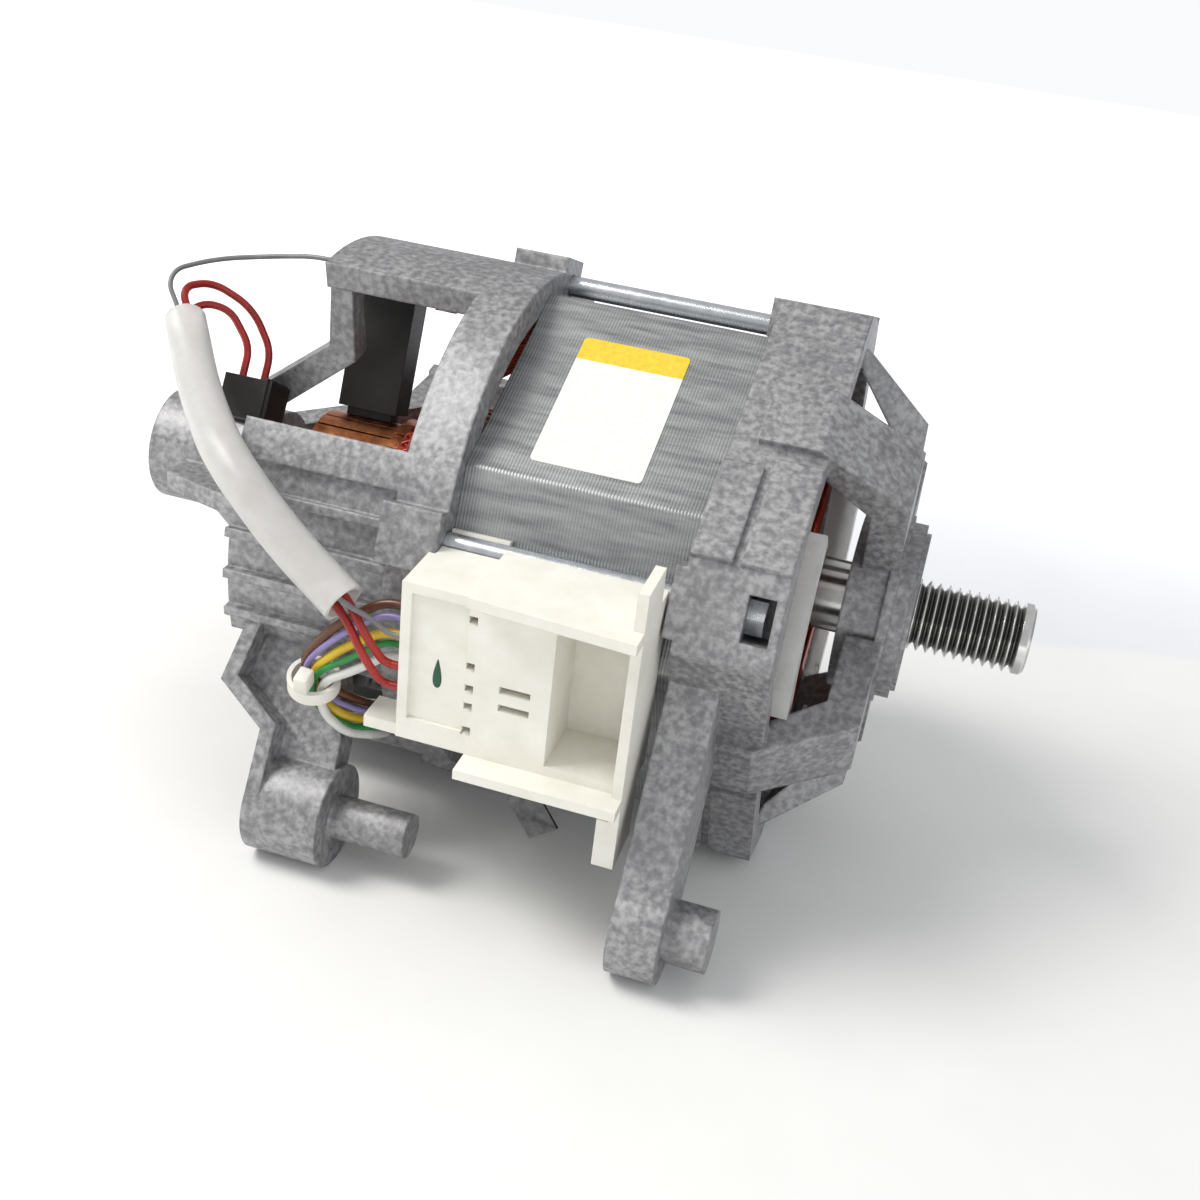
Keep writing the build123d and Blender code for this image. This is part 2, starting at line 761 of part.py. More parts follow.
# Brush end bracket: ring on the stack, four rails, spider arms to the nose, leg, far lug
rear_foot_radius = floor_drop + spot(0, rear_foot_toward, rear_foot_up).Z
far_rear_distance = (floor_drop - far_lug_radius) / -direction(far_lug_angle).Z
ring_rear = stack_rear + ring_length
ring_middle = (ring_inner + ring_outer) / 2


def leg_outline(shares):
    """Outline points of the rear leg, from their shares of its length and height."""
    return placed(shares, stack_rear + rear_leg_setback, rear_leg_length, rear_leg_bottom,
                  rear_leg_height)


with BuildPart() as brush_end_spider:
    with BuildSketch(across(nose_front)):
        Circle(nose_radius)
    extrude(amount=nose_back - nose_front)
    # Spider arms from the rails to the nose
    for turn in range(4):
        with BuildSketch(lengthwise(spider_angle + turn * quarter)):
            shape(placed(spider_shares, stack_rear + spider_setback, spider_length, spider_inner,
                         spider_height))
        extrude(amount=spider_thickness / 2, both=True)
    # Ledge below the near arm
    with BuildSketch(lengthwise(ledge_angle)):
        shape(placed(ledge_shares, stack_rear + ledge_setback, ledge_length, spider_inner, ledge_height))
    extrude(amount=ledge_thickness / 2, both=True)

with BuildPart() as brush_end_bracket:
    with BuildSketch(across(stack_rear)):
        Circle(ring_outer)
        Circle(ring_inner, mode=Mode.SUBTRACT)
    extrude(amount=ring_length)
    # Lug on the far side
    with BuildSketch(across(far_rear_lug_front, far_lug_angle)):
        with Locations((0, far_rear_distance)):
            Circle(far_lug_radius)
        with Locations((0, (ring_middle + far_rear_distance) / 2)):
            Rectangle(2 * far_lug_radius, far_rear_distance - ring_middle)
    extrude(amount=far_rear_lug_width)
    # Bosses that the through bolts screw into
    with BuildSketch(across(stack_rear, corner_angle)):
        with PolarLocations((ring_inner + bolt_boss_outer) / 2, 4):
            Rectangle(bolt_boss_outer - ring_inner, 2 * bolt_boss_half)
    extrude(amount=bolt_boss_length)
    # Rails, the lower ones stepped inwards with ribs across the step
    rail_inner = ring_outer - rail_wall
    rib_half = degrees(rail_rib_width / (2 * ring_outer))
    with BuildSketch(across(ring_rear)):
        for turn in range(4):
            start = rail_from + turn * quarter
            end = rail_to + turn * quarter
            if turn:
                step = rail_step_angle + (turn - 1) * quarter
                ring_slice(rail_inner, ring_outer, start, step)
                ring_slice(rail_inner, ring_outer - rail_step, step, end)
                for rib in rail_rib_angles:
                    middle = rib + (turn - 1) * quarter
                    ring_slice(rail_inner, ring_outer, middle - rib_half, middle + rib_half)
            else:
                ring_slice(rail_inner, ring_outer, start, end)
    extrude(amount=rail_length)
    add(brush_end_spider.part)
    # Leg: a slab with a flange along its rear edge, a round foot and its cast pin
    with BuildSketch(lengthwise(0).offset(-rear_leg_near)):
        shape(leg_outline(rear_leg_shares))
    extrude(amount=rear_leg_thickness)
    with BuildSketch(lengthwise(0).offset(-rear_leg_near - rear_leg_flange)):
        shape(leg_outline(rear_flange_shares))
    extrude(amount=rear_leg_flange + rear_leg_thickness)
    with BuildSketch(lengthwise(0).offset(-rear_leg_near)):
        shape(leg_outline(rear_leg_top_shares))
    extrude(amount=rear_leg_thickness)
    with BuildSketch(across(rear_foot_front)):
        with Locations((rear_foot_toward, rear_foot_up)):
            Circle(rear_foot_radius)
    extrude(amount=rear_foot_length)
    with BuildSketch(across(rear_foot_front - rear_pin_length)):
        with Locations((rear_foot_toward, rear_foot_up)):
            Circle(rear_pin_radius)
    extrude(amount=rear_pin_length)
    # Holes: shaft, bearing seat, sensor, bolts, far lug
    for front, radius, back in ((nose_front - nose_neck_radius, nose_neck_radius, nose_back),
                                (rear_bearing_back - wave_thickness, rear_bearing_outer, nose_back),
                                (magnet_front - sensor_seat_depth, sensor_outer, nose_back)):
        with BuildSketch(across(front)):
            Circle(radius)
        extrude(amount=back - front, mode=Mode.SUBTRACT)
    with BuildSketch(across(stack_rear, corner_angle)):
        with PolarLocations(bolt_circle, 4):
            Circle(bolt_radius + bolt_gap)
    extrude(amount=bolt_boss_length + overrun, mode=Mode.SUBTRACT)
    with BuildSketch(across(far_rear_lug_front, far_lug_angle)):
        with Locations((0, far_rear_distance)):
            Circle(far_lug_bore)
    extrude(amount=far_rear_lug_width, mode=Mode.SUBTRACT)
finish(brush_end_bracket.part, "brush_end_bracket")

# Through bolts with hexagon heads, at the four corners of the stack
with BuildPart() as through_bolts:
    with BuildSketch(across(bolt_head_front, corner_angle)):
        with PolarLocations(bolt_circle, 4):
            RegularPolygon(bolt_head_radius, 6)
    extrude(amount=pocket_back - bolt_head_front)
    with BuildSketch(across(pocket_back, corner_angle)):
        with PolarLocations(bolt_circle, 4):
            Circle(bolt_radius)
    extrude(amount=stack_rear + bolt_boss_length - pocket_back)
finish(through_bolts.part, "through_bolts")

# Brush gear above and below the commutator: holder, screws, brush and spring
brush_middle = brush_back + brush_width / 2
box_half_long = brush_width / 2 + brush_gap + box_wall
box_half_wide = brush_thickness / 2 + brush_gap + box_wall
base_rear = brush_middle + box_half_long + base_margin
brush_bottom = commutator_radius + brush_gap
spring_bottom = commutator_radius + brush_length
spring_height = base_bottom - spring_bottom
for place, angle in (("upper", brush_angle), ("lower", brush_angle + 2 * quarter)):
    with BuildPart() as brush_holder:
        with BuildSketch(outward(angle, box_bottom, 0)):
            patch(brush_middle - box_half_long, brush_middle + box_half_long, -box_half_wide, box_half_wide)
        extrude(amount=base_bottom - box_bottom)
        with BuildSketch(outward(angle, base_bottom, 0)):
            patch(base_front, base_rear, -base_half, base_half)
        extrude(amount=base_thickness)
        with BuildSketch(outward(angle, box_bottom, 0)):
            patch(brush_back - brush_gap, brush_back + brush_width + brush_gap,
                  -brush_thickness / 2 - brush_gap, brush_thickness / 2 + brush_gap)
        extrude(amount=base_bottom - box_bottom, mode=Mode.SUBTRACT)
        with BuildSketch(outward(angle, base_bottom, 0)):
            with Locations(*((-back, 0) for back in screw_backs)):
                Circle(screw_radius)
        extrude(amount=base_thickness, mode=Mode.SUBTRACT)
    finish(brush_holder.part, f"brush_holder_{place}")
    with BuildPart() as screws:
        with BuildSketch(outward(angle, base_bottom - screw_head_height, 0)):
            with Locations(*((-back, 0) for back in screw_backs)):
                Circle(screw_head_radius)
        extrude(amount=screw_head_height)
        with BuildSketch(outward(angle, base_bottom, 0)):
            with Locations(*((-back, 0) for back in screw_backs)):
                Circle(screw_radius)
        extrude(amount=base_thickness)
    finish(screws.part, f"brush_screws_{place}")
    with BuildPart() as carbon_brush:
        with BuildSketch(outward(angle, commutator_radius, 0)):
            patch(brush_back, brush_back + brush_width, -brush_thickness / 2, brush_thickness / 2)
        extrude(amount=brush_length)
        with BuildSketch(across(brush_back - overrun)):
            Circle(brush_bottom)
        extrude(amount=brush_width + 2 * overrun, mode=Mode.SUBTRACT)
    finish(carbon_brush.part, f"carbon_brush_{place}")
    with BuildPart() as brush_spring:
        with BuildSketch(outward(angle, spring_bottom, brush_middle)):
            Circle(spring_radius)
            Circle(spring_radius - spring_wire, mode=Mode.SUBTRACT)
        extrude(amount=spring_height)
    finish(brush_spring.part, f"brush_spring_{place}")

# Speed sensor: magnet on the shaft, coil in the nose, cap over both
with BuildPart() as tacho_magnet:
    with BuildSketch(across(magnet_front)):
        Circle(magnet_radius)
        Circle(rear_bearing_bore, mode=Mode.SUBTRACT)
    extrude(amount=magnet_length)
finish(tacho_magnet.part, "tacho_magnet")

with BuildPart() as tacho_coil:
    with BuildSketch(across(magnet_front - sensor_seat_depth)):
        Circle(sensor_outer)
        Circle(magnet_radius + sensor_gap, mode=Mode.SUBTRACT)
    extrude(amount=sensor_cap_front - magnet_front + sensor_seat_depth)
finish(tacho_coil.part, "tacho_coil")

with BuildPart() as tacho_cap:
    with BuildSketch(across(sensor_cap_front)):
        Circle(sensor_outer)
    extrude(amount=sensor_cap_thickness)
finish(tacho_cap.part, "tacho_cap")

# Plug of the speed sensor's leads, standing beside the nose on a bracket of its own
with BuildPart() as tacho_plug:
    with BuildSketch(across(plug_back)):
        with Locations((plug_toward, plug_up)):
            Rectangle(plug_width, plug_height)
    extrude(amount=plug_length)
    with BuildSketch(across(plug_back + plug_rib)):
        with Locations((plug_toward, plug_up)):
            Rectangle(plug_width + plug_rib, plug_height + plug_rib)
    extrude(amount=plug_rib)
    with BuildSketch(across(plug_back + plug_length)):
        with Locations((plug_foot_toward, plug_foot_up)):
            Rectangle(plug_foot_width, plug_foot_height)
    extrude(amount=-plug_foot_length)
    with BuildSketch(across(nose_front - overrun)):
        Circle(nose_radius + fit_gap)
    extrude(amount=plug_length, mode=Mode.SUBTRACT)
finish(tacho_plug.part, "tacho_plug")

# Terminal block on the near side of the stack: body, roof, skirt, shield and tongue
with BuildPart() as terminal_block:
    with BuildSketch(outward(block_angle, block_rear, 0)):
        patch(block_right, block_left, block_bottom, block_top)
    extrude(amount=block_front - block_rear)
    with BuildSketch(shelf(block_top)):
        shape(((block_right, block_rear), (skirt_left, block_rear), (skirt_left, roof_front),
               (block_right, roof_front_right)))
    extrude(amount=roof_thickness)
    with BuildSketch(shelf(block_bottom - roof_thickness)):
        span(block_right, skirt_left, block_rear, skirt_front)
    extrude(amount=roof_thickness)
    with BuildSketch(outward(block_angle, shield_back, 0)):
        patch(block_right, block_right + shield_thickness, shield_bottom, shield_top)
        patch(block_right, block_right + fin_width, fin_bottom, shield_bottom)
    extrude(amount=shield_front - shield_back)
    with BuildSketch(outward(block_angle, block_rear, 0)):
        patch(skirt_left, base_left, block_bottom - base_drop, block_bottom)
    extrude(amount=base_depth)
    # Recessed panel on the left, open recess on the right
    with BuildSketch(outward(block_angle, block_front, 0)):
        patch(panel_right, block_left - block_wall, contact_bottom, block_top - block_wall)
    extrude(amount=-panel_depth, mode=Mode.SUBTRACT)
    with BuildSketch(outward(block_angle, block_front, 0)):
        patch(block_right + block_wall, recess_left, block_bottom + block_wall, block_top - block_wall)
    extrude(amount=block_wall + block_rear - block_front, mode=Mode.SUBTRACT)
    # Slots for two flat contacts and the row of square windows beside them
    with BuildSketch(outward(block_angle, block_front, 0)):
        for rise in (slot_rise, slot_rise - slot_pitch):
            patch(slot_back, slot_back + slot_size, rise - slot_height / 2, rise + slot_height / 2)
        for rise in [block_bottom + share * (block_top - block_bottom) for share in window_rise_shares]:
            patch(skirt_left - window_size / 2, skirt_left + window_size / 2,
                  rise - window_size / 2, rise + window_size / 2)
    extrude(amount=-contact_depth, mode=Mode.SUBTRACT)
    # Room for the brush end bracket's ring and its boss
    with BuildSketch(across(stack_rear - fit_gap)):
        Circle(hypot(bolt_boss_outer, bolt_boss_half) + fit_gap)
    extrude(amount=base_left - stack_rear + overrun, mode=Mode.SUBTRACT)
    # Tongue on the corner of the stack, hollowed for the through bolt
    with BuildSketch(outward(corner_angle + quarter, stack_corner, 0)):
        patch(panel_right, stack_rear - fit_gap, -tongue_down, tongue_up)
    extrude(amount=tongue_thickness)
    with BuildSketch(across(panel_right - overrun, corner_angle + quarter)):
        with Locations((0, bolt_circle)):
            Circle(bolt_radius + bolt_gap)
    extrude(amount=stack_length, mode=Mode.SUBTRACT)
finish(terminal_block.part, "terminal_block")

# Flat brass contacts in the two slots
with BuildPart() as terminal_contacts:
    with BuildSketch(outward(block_angle, block_front - contact_depth, 0)):
        for rise in (slot_rise, slot_rise - slot_pitch):
            patch(slot_back + fit_gap, slot_back + slot_size - fit_gap,
                  rise - blade_thickness / 2, rise + blade_thickness / 2)
    extrude(amount=contact_depth - blade_setback)
finish(terminal_contacts.part, "terminal_contacts")

# Earth tab: a flat blade that hangs from the skirt and bends towards the drive end
with BuildPart() as earth_tab:
    with BuildSketch(outward(block_angle, tab_out, 0)):
        shape(((-tab_back - blade_width, block_bottom - roof_thickness),
               (-tab_back, block_bottom - roof_thickness), (-tab_back, block_bottom - tab_drop),
               (tab_shift - tab_back, block_bottom - tab_drop - tab_fall),
               (tab_shift - tab_back - blade_width, block_bottom - tab_drop - tab_fall - blade_rise),
               (-tab_back - blade_width, block_bottom - tab_drop - blade_rise)))
    extrude(amount=blade_thickness)
finish(earth_tab.part, "earth_tab")

# Blank rating label on the near upper flat
with BuildPart() as rating_label:
    with BuildSketch(outward(label_angle, stack_flat, label_back)):
        with Locations((0, label_offset)):
            RectangleRounded(label_width, label_height, label_corner)
    extrude(amount=label_thickness)
finish(rating_label.part, "rating_label")


# Leads and the sleeve: straight runs joined by arcs as large as the runs allow
def wired(share):
    """A point from its shares of the wiring size."""
    return spot(stack_rear + share[0] * wiring_size, share[1] * wiring_size, share[2] * wiring_size)


def route(shares):
    """The route's corners and the radius of the arc at each of them."""
    corners = [wired(share) for share in shares]
    radii = []
    for before, corner, after in zip(corners, corners[1:], corners[2:]):
        turn = radians((corner - before).get_angle(after - corner))
        run = min((corner - before).length, (after - corner).length)
        radii.append(arc_share * run / tan(turn / 2))
    return corners, radii


# Places along each lead, as shares of the wiring size: back, towards the near side, and up
sleeve_shares = ((0.85, 0.42, 0.28), (0.705, 0.545, 0.11), (0.5, 0.745, -0.04),
                 (0.32, 0.736, -0.185), (0.15, 0.745, -0.287))
upper_start_shares = ((0.7, 0.235, 0.19), (0.7, 0.235, 0.27), (0.76, 0.27, 0.365),
                      (0.85, 0.335, 0.398), (0.89, 0.405, 0.36))
upper_end_shares = ((0.085, 0.735, -0.348), (0.058, 0.665, -0.395), (0.013, 0.665, -0.395))
lower_start_shares = ((0.74, 0.275, 0.19), (0.74, 0.275, 0.265), (0.795, 0.31, 0.34),
                      (0.85, 0.345, 0.343), (0.878, 0.382, 0.298))
lower_end_shares = ((0.085, 0.715, -0.396), (0.058, 0.65, -0.44), (0.013, 0.65, -0.44))
thin_start_shares = ((0.52, 0.34, 0.51), (0.6, 0.34, 0.51), (0.72, 0.33, 0.49), (0.84, 0.37, 0.45),
                     (0.92, 0.45, 0.38))
thin_end_shares = ((0.085, 0.74, -0.305), (0.058, 0.69, -0.33), (0.013, 0.69, -0.33))
brown_shares = ((0.013, 0.665, -0.265), (0.09, 0.665, -0.265), (0.19, 0.65, -0.34),
                (0.275, 0.585, -0.43), (0.286, 0.505, -0.486), (0.225, 0.466, -0.504),
                (0.174, 0.395, -0.522), (0.176, 0.28, -0.526), (0.235, 0.18, -0.558),
                (0.264, 0.1, -0.566), (0.264, 0.015, -0.551))
yellow_shares = ((0.013, 0.645, -0.33), (0.08, 0.645, -0.33), (0.175, 0.62, -0.39),
                 (0.253, 0.57, -0.456), (0.262, 0.505, -0.52), (0.202, 0.46, -0.556),
                 (0.159, 0.395, -0.56), (0.156, 0.285, -0.56), (0.2, 0.185, -0.572),
                 (0.229, 0.1, -0.566), (0.229, 0.015, -0.551))
white_shares = ((0.013, 0.615, -0.38), (0.07, 0.615, -0.38), (0.145, 0.6, -0.435),
                (0.23, 0.56, -0.48), (0.234, 0.506, -0.554), (0.184, 0.45, -0.594),
                (0.149, 0.385, -0.592), (0.147, 0.28, -0.593), (0.17, 0.185, -0.595),
                (0.194, 0.1, -0.568), (0.194, 0.015, -0.551))


def through_sleeve(toward, up):
    """The sleeve's places, shifted for a lead that runs inside it."""
    return tuple((point[0], point[1] + toward, point[2] + up) for point in sleeve_shares)


upper_shares = upper_start_shares + through_sleeve(-0.012, 0.013) + upper_end_shares
lower_shares = lower_start_shares + through_sleeve(-0.009, -0.02) + lower_end_shares
thin_shares = thin_start_shares + through_sleeve(0.023, 0.003) + thin_end_shares
for name, shares, radius, wall in (("cable_sleeve", sleeve_shares, sleeve_radius, sleeve_wall),
                                   ("tacho_lead_upper", upper_shares, tacho_lead_radius, 0),
                                   ("tacho_lead_lower", lower_shares, tacho_lead_radius, 0),
                                   ("thin_lead", thin_shares, thin_lead_radius, 0),
                                   ("brown_lead", brown_shares, lead_radius, 0),
                                   ("yellow_lead", yellow_shares, lead_radius, 0),
                                   ("white_lead", white_shares, lead_radius, 0)):
    corners, radii = route(shares)
    print(name, "radii", [round(value, 1) for value in radii])
    with BuildPart() as lead:
        with BuildLine() as path:
            FilletPolyline(*corners, radius=radii)
        with BuildSketch(Plane(path.line @ 0, z_dir=path.line % 0)):
            Circle(radius)
            if wall:
                Circle(radius - wall, mode=Mode.SUBTRACT)
        sweep()
    finish(lead.part, name)

# Cable tie round the three leads beside the rear leg
tie_centre = wired(tie_share)
tie_axis = wired(yellow_shares[4]) - wired(yellow_shares[3])
with BuildPart() as cable_tie:
    with BuildSketch(Plane(tie_centre - tie_axis.normalized() * (tie_width / 2), z_dir=tie_axis)):
        Circle(tie_radius + tie_thickness)
        Circle(tie_radius, mode=Mode.SUBTRACT)
    extrude(amount=tie_width)
finish(cable_tie.part, "cable_tie")
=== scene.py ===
# %% [markdown]
# # An open-frame washing machine motor
# The real motor is a stack of punched steel sheets held between two cast aluminium brackets
# by four long bolts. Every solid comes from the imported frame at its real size. This script
# gives each one its finish, adds the fine pieces that only the eye needs, and lights it.

# %% Load the frame
import bmesh
import bpy
from math import cos, pi, radians, sin
from mathutils import Matrix, Vector


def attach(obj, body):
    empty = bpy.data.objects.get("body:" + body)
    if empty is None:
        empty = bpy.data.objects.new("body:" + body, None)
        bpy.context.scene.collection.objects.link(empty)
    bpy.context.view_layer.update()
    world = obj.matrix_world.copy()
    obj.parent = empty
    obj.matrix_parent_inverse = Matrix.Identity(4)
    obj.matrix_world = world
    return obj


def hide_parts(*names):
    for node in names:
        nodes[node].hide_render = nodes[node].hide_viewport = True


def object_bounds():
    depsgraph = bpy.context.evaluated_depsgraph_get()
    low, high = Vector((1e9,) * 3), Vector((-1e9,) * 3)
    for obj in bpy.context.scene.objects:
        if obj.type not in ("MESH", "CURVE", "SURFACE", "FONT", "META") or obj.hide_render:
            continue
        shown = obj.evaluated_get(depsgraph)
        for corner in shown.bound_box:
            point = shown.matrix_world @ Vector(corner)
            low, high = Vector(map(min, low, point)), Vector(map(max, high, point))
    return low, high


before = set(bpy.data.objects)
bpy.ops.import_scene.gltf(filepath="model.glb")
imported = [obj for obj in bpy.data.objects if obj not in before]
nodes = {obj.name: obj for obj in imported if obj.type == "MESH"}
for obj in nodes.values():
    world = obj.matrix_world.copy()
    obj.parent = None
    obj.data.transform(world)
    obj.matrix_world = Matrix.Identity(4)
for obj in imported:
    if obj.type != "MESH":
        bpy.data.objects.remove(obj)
cad_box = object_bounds()
MM = 0.001
print("nodes loaded:", len(nodes))

# %% [markdown]
# The motor lies with its feet turned towards the near side, so its own directions are rolled
# about the shaft. Turning every point by hand would be easy to get wrong, so one function
# turns places given in the motor's directions into points: back from the hub's face, towards
# the near side, and up along the legs, in millimetres.

# %% Places in the motor's own directions
RESTING_ROLL = radians(25.0)


def spot(back, toward, up):
    """A point in metres from millimetres behind the hub, towards the near side, and up."""
    across = up * sin(RESTING_ROLL) - toward * cos(RESTING_ROLL)
    height = toward * sin(RESTING_ROLL) + up * cos(RESTING_ROLL)
    return Vector((-back, across, height)) * MM


def direction(degrees_round):
    """The unit vector away from the shaft, at an angle from the leg direction."""
    turn = radians(degrees_round) - RESTING_ROLL
    return Vector((0, -sin(turn), cos(turn)))


def polar(back, radius, degrees_round):
    """A point at a distance from the shaft, at an angle from the leg direction."""
    return direction(degrees_round) * radius * MM + Vector((-back * MM, 0, 0))


print("up along the legs points to", direction(0))

# %% [markdown]
# Materials are built from nodes, and a few helpers keep them short. One turns an sRGB hex
# colour into the linear values that Blender's shaders work in, and one adds any node with
# its settings and links. A pattern's scale is worked out from its real size in millimetres.

# %% Helpers for nodes
def colour(hex_value):
    """Linear red, green, blue and alpha from a hex colour as seen on a screen."""
    def linear(channel):
        return channel / 12.92 if channel <= 0.04045 else ((channel + 0.055) / 1.055) ** 2.4
    channels = [int(hex_value[i:i + 2], 16) / 255 for i in (1, 3, 5)]
    return (*(linear(channel) for channel in channels), 1.0)


def scale_for(size_mm):
    """The Scale that makes a pattern's features about this size in millimetres."""
    return 1.0 / (size_mm * MM)


def add(tree, kind, values=None, links=None, stops=(), **settings):
    """A node with its settings, constant inputs, links into it, and (position, hex) stops."""
    made = tree.nodes.new(kind)
    for name, value in settings.items():
        setattr(made, name, value)
    for socket, value in (values or {}).items():
        made.inputs[socket].default_value = value
    for socket, source in (links or {}).items():
        tree.links.new(source, made.inputs[socket])
    if stops:
        elements = made.color_ramp.elements
        elements[0].position, elements[0].color = stops[0][0], colour(stops[0][1])
        elements[1].position, elements[1].color = stops[-1][0], colour(stops[-1][1])
        for position, hex_value in stops[1:-1]:
            elements.new(position).color = colour(hex_value)
    return made


print("mid grey in linear values:", colour("#808080")[:3])

# %% [markdown]
# Every finish here has the same three parts: a colour that wanders a little, a gloss that
# wanders with it, and a fine relief. One function wires the three into the shader, so each
# material only has to say which pattern drives which part. A bevelled normal under the
# relief rounds sharp edges in the light, without touching the solid.

# %% Helpers for finishes
def new_material(name, **sockets):
    """A principled material with constant sockets, its tree, shader and object coordinates."""
    material = bpy.data.materials.new(name)
    material.use_nodes = True
    tree = material.node_tree
    shader = tree.nodes["Principled BSDF"]
    for socket, value in sockets.items():
        shader.inputs[socket.replace("_", " ")].default_value = value
    place = add(tree, "ShaderNodeTexCoord").outputs["Object"]
    return material, tree, shader, place


def dress(tree, shader, base, gloss, rough, height, depth_mm, strength, edge_mm=0.0):
    """Wire a colour, a roughness between two values, and a relief of a real depth."""
    spread = add(tree, "ShaderNodeMapRange", {"From Min": 0.3, "From Max": 0.7,
                                              "To Min": rough[0], "To Max": rough[1]},
                 {"Value": gloss})
    relief = add(tree, "ShaderNodeBump", {"Strength": strength, "Distance": depth_mm * MM},
                 {"Height": height})
    if edge_mm:
        edges = add(tree, "ShaderNodeBevel", {"Radius": edge_mm * MM}, samples=4)
        tree.links.new(edges.outputs["Normal"], relief.inputs["Normal"])
    tree.links.new(base, shader.inputs["Base Color"])
    tree.links.new(spread.outputs["Result"], shader.inputs["Roughness"])
    tree.links.new(relief.outputs["Normal"], shader.inputs["Normal"])


def finish_nodes(material, *names):
    """Give CAD nodes a material in place of their plain one."""
    for name in names:
        slots = nodes[name].data.materials
        slots.clear()
        slots.append(material)
    print(material.name, "on", ", ".join(names))


print("a 2 mm pattern has a scale of", scale_for(2.0))

# %% [markdown]
# The brackets are die-cast aluminium, tumbled and left bare. Bare castings are mid grey,
# quite rough, and mottled where the skin of the die has worn, with edges rounded by the
# draft. A picture of a casting would slide and repeat, so two noises and fine pits are used:
# the grit of 1.7 mm shows as mottling, and the coarse one gives cloudy stains.

# %% Cast aluminium
def cast_aluminium():
    """Mottled grey with a dull sheen and softly rounded edges."""
    material, tree, shader, place = new_material("die_cast_aluminium", Metallic=0.75)
    grit = add(tree, "ShaderNodeTexNoise", {"Scale": scale_for(1.7), "Detail": 2.5,
                                            "Roughness": 0.55}, {"Vector": place}).outputs["Fac"]
    clouds = add(tree, "ShaderNodeTexNoise", {"Scale": scale_for(14.0), "Detail": 3.0,
                                              "Roughness": 0.6}, {"Vector": place}).outputs["Fac"]
    pits = add(tree, "ShaderNodeTexVoronoi", {"Scale": scale_for(1.6)}, {"Vector": place})
    mottle = add(tree, "ShaderNodeMath", {}, {0: grit, 1: clouds, 2: grit},
                 operation="MULTIPLY_ADD")
    base = add(tree, "ShaderNodeValToRGB", {}, {"Fac": mottle.outputs["Value"]},
               stops=((0.5, "#868588"), (0.75, "#9C9C9E"), (1.0, "#B3B3B5")))
    relief = add(tree, "ShaderNodeMath", {}, {0: grit, 1: pits.outputs["Distance"]},
                 operation="ADD")
    dress(tree, shader, base.outputs["Color"], grit, (0.48, 0.62), relief.outputs["Value"],
          0.14, 0.35, edge_mm=0.9)
    return material


finish_nodes(cast_aluminium(), "drive_end_bracket", "brush_end_bracket")

# %% [markdown]
# The stator core is a pile of punched steel sheets, each about half a millimetre thick, so
# its sides show fine lines across the shaft. Modelling some hundred sheets would add nothing,
# so bands in the material draw them. At this distance half a millimetre is too fine to see,
# so the lines are drawn at 0.75 mm, with stains stretched along the stack.

# %% Laminated steel
SHEET_MM = 0.75
# Length of one band of the wave pattern at a scale of one
BAND_WAVE = 2 * pi / 20


def laminated_steel(name, light, dark):
    """Dull steel with fine parallel lines and faint streaks."""
    material, tree, shader, place = new_material(name, Metallic=0.8)
    sheets = add(tree, "ShaderNodeTexWave", {"Scale": BAND_WAVE * scale_for(SHEET_MM)},
                 {"Vector": place}, wave_type="BANDS", bands_direction="X").outputs["Fac"]
    stretched = add(tree, "ShaderNodeMapping", {"Scale": (0.15, 1, 1)}, {"Vector": place})
    streaks = add(tree, "ShaderNodeTexNoise", {"Scale": scale_for(2.2), "Detail": 3.0,
                                               "Roughness": 0.6},
                  {"Vector": stretched.outputs["Vector"]}).outputs["Fac"]
    mixed = add(tree, "ShaderNodeMath", {1: 0.22}, {0: sheets, 2: streaks},
                operation="MULTIPLY_ADD")
    base = add(tree, "ShaderNodeValToRGB", {}, {"Fac": mixed.outputs["Value"]},
               stops=((0.25, dark), (0.85, light)))
    dress(tree, shader, base.outputs["Color"], streaks, (0.38, 0.55), sheets, 0.06, 0.5,
          edge_mm=0.5)
    return material


finish_nodes(laminated_steel("stamped_sheet_steel", "#ADAFB0", "#727476"), "stator_core")
finish_nodes(laminated_steel("armature_sheet_steel", "#8D8F91", "#55575A"), "armature_core")

# %% [markdown]
# The bright metals are ground, turned, plated or stamped, and differ only in colour, gloss
# and the fine rings that the tool leaves. One function serves them all, with bands across
# the shaft for the rings. The real rings are too fine to show, so they are drawn at a third
# of a millimetre or more.

# %% Bright metals
def bright_metal(name, light, dark, rough, ring_mm=0.35, depth_mm=0.02, painted_shade=None):
    """Clean metal with faint tool rings, darkened by painted shade where a function adds it."""
    material, tree, shader, place = new_material(name, Metallic=1.0)
    rings = add(tree, "ShaderNodeTexWave", {"Scale": BAND_WAVE * scale_for(ring_mm),
                                            "Distortion": 1.5},
                {"Vector": place}, wave_type="BANDS", bands_direction="X").outputs["Fac"]
    blotches = add(tree, "ShaderNodeTexNoise", {"Scale": scale_for(3.0), "Detail": 3.0,
                                                "Roughness": 0.6},
                   {"Vector": place}).outputs["Fac"]
    base = add(tree, "ShaderNodeValToRGB", {}, {"Fac": blotches},
               stops=((0.3, dark), (0.7, light))).outputs["Color"]
    # A function may darken the colour here with painted shade
    if painted_shade:
        base = painted_shade(tree, place, base)
    dress(tree, shader, base, blotches, rough, rings, depth_mm, 0.5, edge_mm=0.2)
    return material


# Zinc plate on the bolts: a soft sheen with a cool cast
finish_nodes(bright_metal("zinc_plated_steel", "#D9DCE0", "#C8CCD1", (0.22, 0.3)),
             "through_bolts", "brush_screws_upper", "brush_screws_lower")
